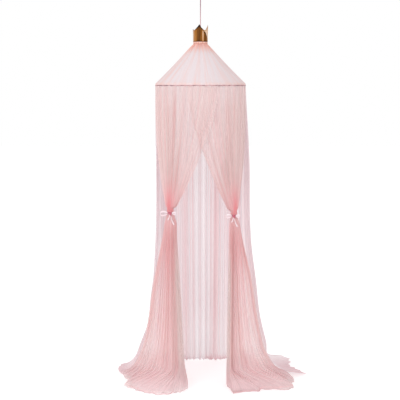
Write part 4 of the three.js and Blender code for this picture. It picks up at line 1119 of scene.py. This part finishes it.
def front_panel(name, panel, seed):
    t = np.linspace(0, 1, panel_pleats * pleat_columns)[None, :]
    tie_drop = panel["tie_drop"]
    tie_top = seam_height - tie_drop
    tie_bottom = tie_top - ribbon_width
    pleat_phase = 2 * math.pi * panel_pleats * t + 2.6 * wander(seed, t, 0, 9, 0)
    folds = box_pleat(pleat_phase)
    angle = mix(skirt_start, skirt_end, t**0.8)
    overlap = 1 - 0.22 * smooth(t, 0.78, 1) - 0.05 * (1 - smooth(t, 0, 0.1))
    centre = np.array([panel["tie_out"], -tie_depth])

    # above the ribbon a sheet sweeps over, and closes round to a ring as it comes to the waist
    fall = 1 - (1 - np.linspace(0, 1, upper_rows)[:, None]) ** 1.8
    out, depth = swept(panel, t, fall)
    waist_ring = np.stack([waist_width * np.cos(angle), -waist_depth * np.sin(angle)], -1)
    waist_ring = centre + waist_ring * overlap[..., None] * waist_fill
    upper = mix(np.stack([out, depth], -1), waist_ring, smooth(fall, 0.95, 1.0)[..., None] ** 1.3)
    normal = fall_normals(upper)
    normal *= np.where(normal[..., 1:] > 0, -1, 1)
    crossing = 1 - smooth(out, cross_start * seam_radius, cross_end * seam_radius)
    closing = 1 - fall**3
    settle = smooth(fall, 0, 0.25)
    lift = panel["layer"] * crossing * closing * (crossing_gap + crossing_gain * settle)
    uneven = np.clip(1 + 0.4 * wander(seed + 1, t, fall, 20, 0.3), 0.3, 1.7)
    free = mix(seam_pleat, hanging_pleat, settle) * mix(1, 0.4, crossing)
    pleat = mix(free * uneven, waist_pleat, smooth(fall, 0.55, 0.95))
    broad = sheet_wave * settle * closing * wander(seed + 2, t, fall, 5, 0.5) * (1 - 0.5 * crossing)
    upper_folded = upper + normal * (lift + broad + pleat * folds)[..., None]
    upper_z = mix(curtain_top, tie_top, fall) + 0 * t

    # below the ribbon the cloth opens to a skirt, whose two edges meet behind. More of it lies inwards.
    # Its last stretch folds back on itself on the floor.
    levels = np.arange(len(bundle_shares))
    level = np.linspace(0, 1, lower_rows + 1)[1:, None] * len(levels)
    drop, out_share, in_share, front_share, back_share = (
        read_curve(level, np.stack([levels, column], 1)) for column in zip(*bundle_shares)
    )
    lobes = wander(seed + 3, t, drop, 6, 0.7)
    ring = mix(waist_fill, 1, smooth(level, 0, 1)) * (overlap - 0.05 * (1 + lobes) * smooth(level, 0.5, 4))
    back_on_itself = np.clip(level - len(levels) + 1, 0, 1)
    ring = ring * (1 - back_on_itself * np.clip(0.1 + 0.13 * wander(seed + 9, t, 0, 7, 0), 0.02, 0.3))
    a, b = ring * np.cos(angle), ring * np.sin(angle)
    reach_out = mix(waist_width, panel["out"], out_share)
    flaring = smooth(drop, 0.06, 0.5) * (1 - smooth(drop, floor_start, 0.97))
    reach_out = reach_out + panel["flare"] * (1 - smooth(t, 0.2, 0.38)) * flaring
    reach_in = mix(waist_width, panel["in"], in_share)
    reach_front = mix(waist_depth, panel["front"], front_share)
    reach_back = mix(waist_depth, panel["back"], back_share)
    section = np.stack([
        a * np.where(a > 0, reach_out, reach_in), -b * np.where(b > 0, reach_front, reach_back),
    ], -1)

    # on the floor the path runs to the train's outline
    size = np.clip(np.hypot(a, b), 1e-6, 1)
    around = np.arccos(np.clip(a / size, -1, 1)) / math.pi
    on_front = smooth(b, -0.12, 0.12)
    outlines = zip(read_outline(panel["back_shares"], around), read_outline(panel["front_shares"], around))
    train_out, train_front = (mix(back, front, on_front) for back, front in outlines)
    train = np.stack([
        train_out * np.where(train_out > 0, panel["out"], panel["in"]),
        -train_front * np.where(train_front > 0, panel["front"], panel["back"]),
    ], -1) * size[..., None]
    lower = mix(section, train, smooth(drop, floor_start, 1.0)[..., None])

    # its pleats are as deep as the cloth needs and the bundle has room for
    row_length = np.maximum(column_runs(lower), 1e-6).sum(axis=1, keepdims=True)
    needed = row_length / panel_pleats / 4 * np.sqrt(np.maximum((panel_flat[0] / row_length) ** 2 - 1, 0.1))
    room = pleat_room * np.minimum(reach_front, reach_back) + 0.001
    pleat = np.minimum(np.clip(1.1 * needed, narrowest_pleat, widest_pleat), room)
    pleat = pleat * mix(1, 0.5, smooth(drop, 0.9, 1))
    pleat = mix(waist_pleat, pleat, smooth(level, 0, 4.5))
    lower_folded = lower + fall_normals(lower) * (pleat * uneven[-1] * folds)[..., None] + centre
    lap = level - lap_level - 0.35 * wander(seed + 10, t, 0, 5, 0)
    ripple = hem_height + hem_height * np.sin(pleat_phase / 2) * smooth(drop, 0.9, 1) + lobe_height * lobes
    ripple = ripple + turned_back_height * smooth(back_on_itself, 0, 0.5)
    ripple = ripple + lap_height * bump(lap, 0, 0.25) * smooth(b, 0, 0.3)
    lower_z = mix(tie_bottom, floor_height, drop) + 0 * t
    lower_z = np.maximum(lower_z, floor_height + np.maximum(ripple, above_floor))

    base = np.concatenate([upper, lower + centre])
    heights = np.concatenate([upper_z, lower_z])[..., None]
    points = np.concatenate([np.concatenate([upper_folded, lower_folded]), heights], -1)
    points[..., 0] *= panel["side"]

    def only_below(values):
        return np.concatenate([np.zeros((upper_rows, values.shape[1])), values])

    # where the net looks dense: at the hems, in the lap, where a painted shade also darkens the fold below
    # it, and in the layers that lie on the floor. It looks thin at the panel's edges, in the outer lobes,
    # inside the skirts and in a few bands of the upper sheet.
    fallen = np.concatenate([tie_drop * fall, tie_drop + (tie_bottom - floor_height) * drop])
    above = fallen < tie_drop
    side_on, facing = np.cos(angle), bump(np.cos(angle), 0.3, 0.68)
    hem = (np.arange(len(points)) > len(points) - hem_rows)[:, None] * 1.0
    side_hem = smooth(np.abs(2 * t - 1), *hem_edge)
    floor_layers = smooth(fallen, lying_from, lying_at)
    outer_train = only_below(smooth(level, 6.6, 8.6))
    outermost = outer_train * smooth(side_on, 0, 0.7)
    innermost = only_below(smooth(drop, 0.1, 0.4)) * smooth(-side_on, 0.45, 0.95)
    fullness = only_below(smooth(drop, 0.35, 0.75) * (1 - smooth(drop, 0.9, 0.98)))
    # painted shade in the fold just below the lap: a denser net, a deeper tint and less resting colour there
    lap_shade = only_below(0.5 * bump(lap, 0.3, 0.16) * (b > 0))
    bunched = np.clip(1 + 0.25 * wander(seed + 8, t, fallen / 2, 14, 0.4), 0.45, 1.5)
    skirt = mix(0.3, 1, smooth(t, 0.05, 0.42)) * mix(1, 0.5, smooth(t, 0.75, 1))
    skirt = skirt * mix(mix(0.36, 1.12, facing), 1, 0.6 * floor_layers) * (1 + 0.95 * fullness * facing)
    skirt = skirt * (1 - 0.45 * outermost) * (1 - 0.62 * innermost)
    sheet = mix(0.4, 1, smooth(t, 0, 0.14)) * mix(1, 0.55, smooth(t, 0.55, 0.95))
    for middle, width, loss in panel["thin"]:
        sheet = sheet * (1 - loss * bump(t, middle, width))
    lying = 5 * floor_layers * (1 - panel["outer_fade"] * outer_train) + 2 * lap_shade + hem + 0.5 * side_hem

    # where it looks deep pink: where it gathers at the ribbon and where the skirts face the front
    gather = bump(fallen, tie_drop, np.where(above, 0.15, 0.35))
    tint = 0.13 + gather * np.where(above, mix(0.25, 0.9, bump(t, panel["core"], 0.25)), 0.3)
    tint = tint + 0.07 * wander(seed + 7, t, fallen / 2, 24, 0.5)
    tint = tint + (0.02 + 0.22 * facing) * smooth(fallen, tie_drop, tie_drop + 0.3) - 0.15 * hem
    made = add_cloth(
        name + "_net", points, front_tulle, [name], "front_tulle",
        cloth=cloth_places(t * panel_flat[0], fallen),
        veil=veil_of(base, points, panel_flat[0], lying, bunched * np.where(above, sheet, skirt)),
        tint=tint + lap_shade - 0.5 * outermost - 0.45 * innermost,
        rest=0.9 * floor_layers * (1 - 0.8 * lap_shade) * (1 - 0.6 * outermost),
    )


front_panel("curtain_left", panels["left"], 200)
front_panel("curtain_right", panels["right"], 300)


# Ties. Each is a white-pink satin ribbon, 12 mm wide, which goes round the drawn cloth and is tied at the
# front in a bow with two loops and two slanted ends around a deep rose knot. Painted shade tints it deep
# rose on the band, in the knot's creases and where the loops and ends go into the knot.
ribbon_thickness = 0.001
ribbon_columns = 7
knot_front = -tie_depth - waist_depth - ribbon_thickness - 2 * touch
knot_size = (0.013, 0.011, 0.012)
knot_roundness = 0.72
loop_height = 0.24  # half of it, as a share of the loop's length
loop_droop = math.radians(3.5)
loop_tilt = math.radians(75)
loop_outline = [  # two handles and an end for each stretch, as shares of the loop's length and half height
    ((0.4, -0.7), (0.55, -1), (0.78, -1)), ((0.94, -1), (1, -0.5), (1, 0)), ((1, 0.5), (0.94, 1), (0.78, 1)),
    ((0.55, 1), (0.4, 0.7), (0, 0)),
]
loop_lean, tail_lean = 0.15, 0.3
tail_twist = math.radians(58)
tail_apart, tail_behind, tail_ripple = 0.0033, 0.0035, 0.002
tucked = 0.001  # what goes into the knot of each loop and tail
bows = {
    "left": {"out": 0.058, "in": 0.03, "long": 0.072, "short": 0.04},
    "right": {"out": 0.034, "in": 0.044, "long": 0.066, "short": 0.038},
}


def satin():
    material, tree, shader = new_surface("ribbon_satin", Roughness=0.32, Sheen_Weight=0.2, Anisotropic=0.5)
    threads = grain(tree, flat_place(tree), 700, 2.0, down_threads)
    share = streaked_tint(tree, threads, 0.25, 0.12)
    # the tint layer runs from the white-pink satin to deep rose, used for the knot and for painted shade
    colour_by(tree, shader, share, paint(254, 240, 244), paint(196, 30, 78))
    relief(tree, shader, threads, 0.2, 0.0001)
    return material


def ribbon(name, line, across, node, tint):
    """Ribbon along a line, its width at each point along a given direction"""
    points = line[:, None, :] + np.linspace(-0.5, 0.5, ribbon_columns)[None, :, None] * across[:, None, :]
    run = run_along(line)[:, None]
    return add_cloth(
        name, points, ribbon_satin, [node], "ribbon_satin", thickness=ribbon_thickness * 0.8,
        cloth=cloth_places(np.linspace(0, ribbon_width, ribbon_columns)[None, :], run), tint=tint + 0 * run,
    )


def rounded(value):
    """A wave that fills its corners, for a pad that is neither a ball nor a block"""
    return np.sign(value) * np.abs(value) ** knot_roundness


ribbon_satin = satin()
turn = np.linspace(0, 2 * math.pi, 120)
for name, panel in panels.items():
    bow = bows[name]
    knot_x = panel["side"] * panel["tie_out"]
    knot_z = seam_height - panel["tie_drop"] - ribbon_width / 2
    knot_middle = knot_front - knot_size[1] / 2
    reach_x, reach_y = waist_width + touch + ribbon_thickness / 2, waist_depth + touch + ribbon_thickness / 2
    lies = np.sign(np.sin(turn)) * np.maximum(np.abs(np.sin(turn)), 0.02)
    line = np.stack([knot_x + reach_x * np.cos(turn), -tie_depth - reach_y * lies, knot_z + 0 * turn], 1)
    across = np.tile((0, 0, ribbon_width), (len(turn), 1))
    # painted shade: the band round the drawn cloth is tinted deep rose all over
    band = ribbon(f"{name}_ribbon", line, across, f"{name}_tie_band", 0.8)

    # the knot is a rounded pad of ribbon with creases running over it
    u = np.linspace(0, 2 * math.pi, 40, endpoint=False)[None, :]
    v = np.linspace(0.02, math.pi - 0.02, 24)[:, None]
    creases = np.sin(9 * u + 2 * np.cos(v))
    pad = rounded(np.sin(v)) * np.stack([rounded(np.cos(u)) + 0 * v, rounded(np.sin(u)) + 0 * v])
    pad_y, pad_z = pad * (1 + 0.06 * creases * np.sin(v))
    knot_points = np.stack([
        knot_x + knot_size[0] / 2 * rounded(np.cos(v)) + 0 * u,
        knot_middle + knot_size[1] / 2 * pad_y, knot_z + knot_size[2] / 2 * pad_z,
    ], -1)
    # the knot is deep rose, and painted shade deepens it further along its creases
    knot = add_cloth(
        f"{name}_knot", knot_points, ribbon_satin, [f"{name}_bow_knot"], "ribbon_satin", wraps=True,
        cloth=cloth_places(u * 0.003, v * 0.004), tint=0.75 + 0.4 * creases**8,
    )

    for part, way, length in (("outer", panel["side"], bow["out"]), ("inner", -panel["side"], bow["in"])):
        half = loop_height * length - ribbon_thickness / 2
        outline = [np.array((0.0, 0.0))]
        for stretch in loop_outline:
            outline.extend(bezier([outline[-1], *((x * length, y * half) for x, y in stretch)], 12)[1:])
        out, up = np.array(outline).T
        begin = knot_x + way * (knot_size[0] / 2 - tucked)
        line = np.stack([
            begin + way * out * math.cos(loop_droop), knot_middle + 0 * out,
            knot_z + (up - out * math.sin(loop_droop)),
        ], 1)
        bulge = np.clip(out / length, 0, 1)
        tilt = loop_tilt * smooth(bulge, 0, 0.35)
        width = mix(0.45, 0.9, smooth(bulge, 0, 0.4)) * ribbon_width
        across = np.stack([-way * loop_lean * bulge * width, width * np.cos(tilt), -width * np.sin(tilt)], 1)
        # painted shade: deep rose where the loop goes into the knot, and a little deeper on its lower half
        tint = (0.04 + 0.8 * (1 - smooth(bulge, 0.03, 0.28)) + 0.1 * (up < 0))[:, None]
        ribbon(f"{name}_loop_{part}", line, across, f"{name}_bow_loop_{part}", tint)
    share = np.linspace(0, 1, 24)
    for part, way, length in (("long", 1, bow["long"]), ("short", -1, bow["short"])):
        twist = tail_twist * np.sin(math.pi * (0.15 + 0.85 * share)) * way
        line = np.stack([
            knot_x + way * tail_apart + way * length * tail_lean * share**2,
            knot_front - knot_size[1] + tail_behind + tail_ripple * np.sin(3 * math.pi * share) * share,
            knot_z - knot_size[2] / 2 + tucked - length * share,
        ], 1)
        width = mix(0.5, 0.85, smooth(share, 0, 0.35)) * ribbon_width
        slant = 0.5 * width * (share > 0.97)
        across = np.stack([width * np.cos(twist), width * np.sin(twist) * 0.5, slant], 1)
        # painted shade: deep rose where the end comes out from under the knot
        tint = (0.1 + 0.8 * (1 - smooth(share, 0.05, 0.3)))[:, None]
        ribbon(f"{name}_tail_{part}", line, across, f"{name}_bow_tail_{part}", tint)
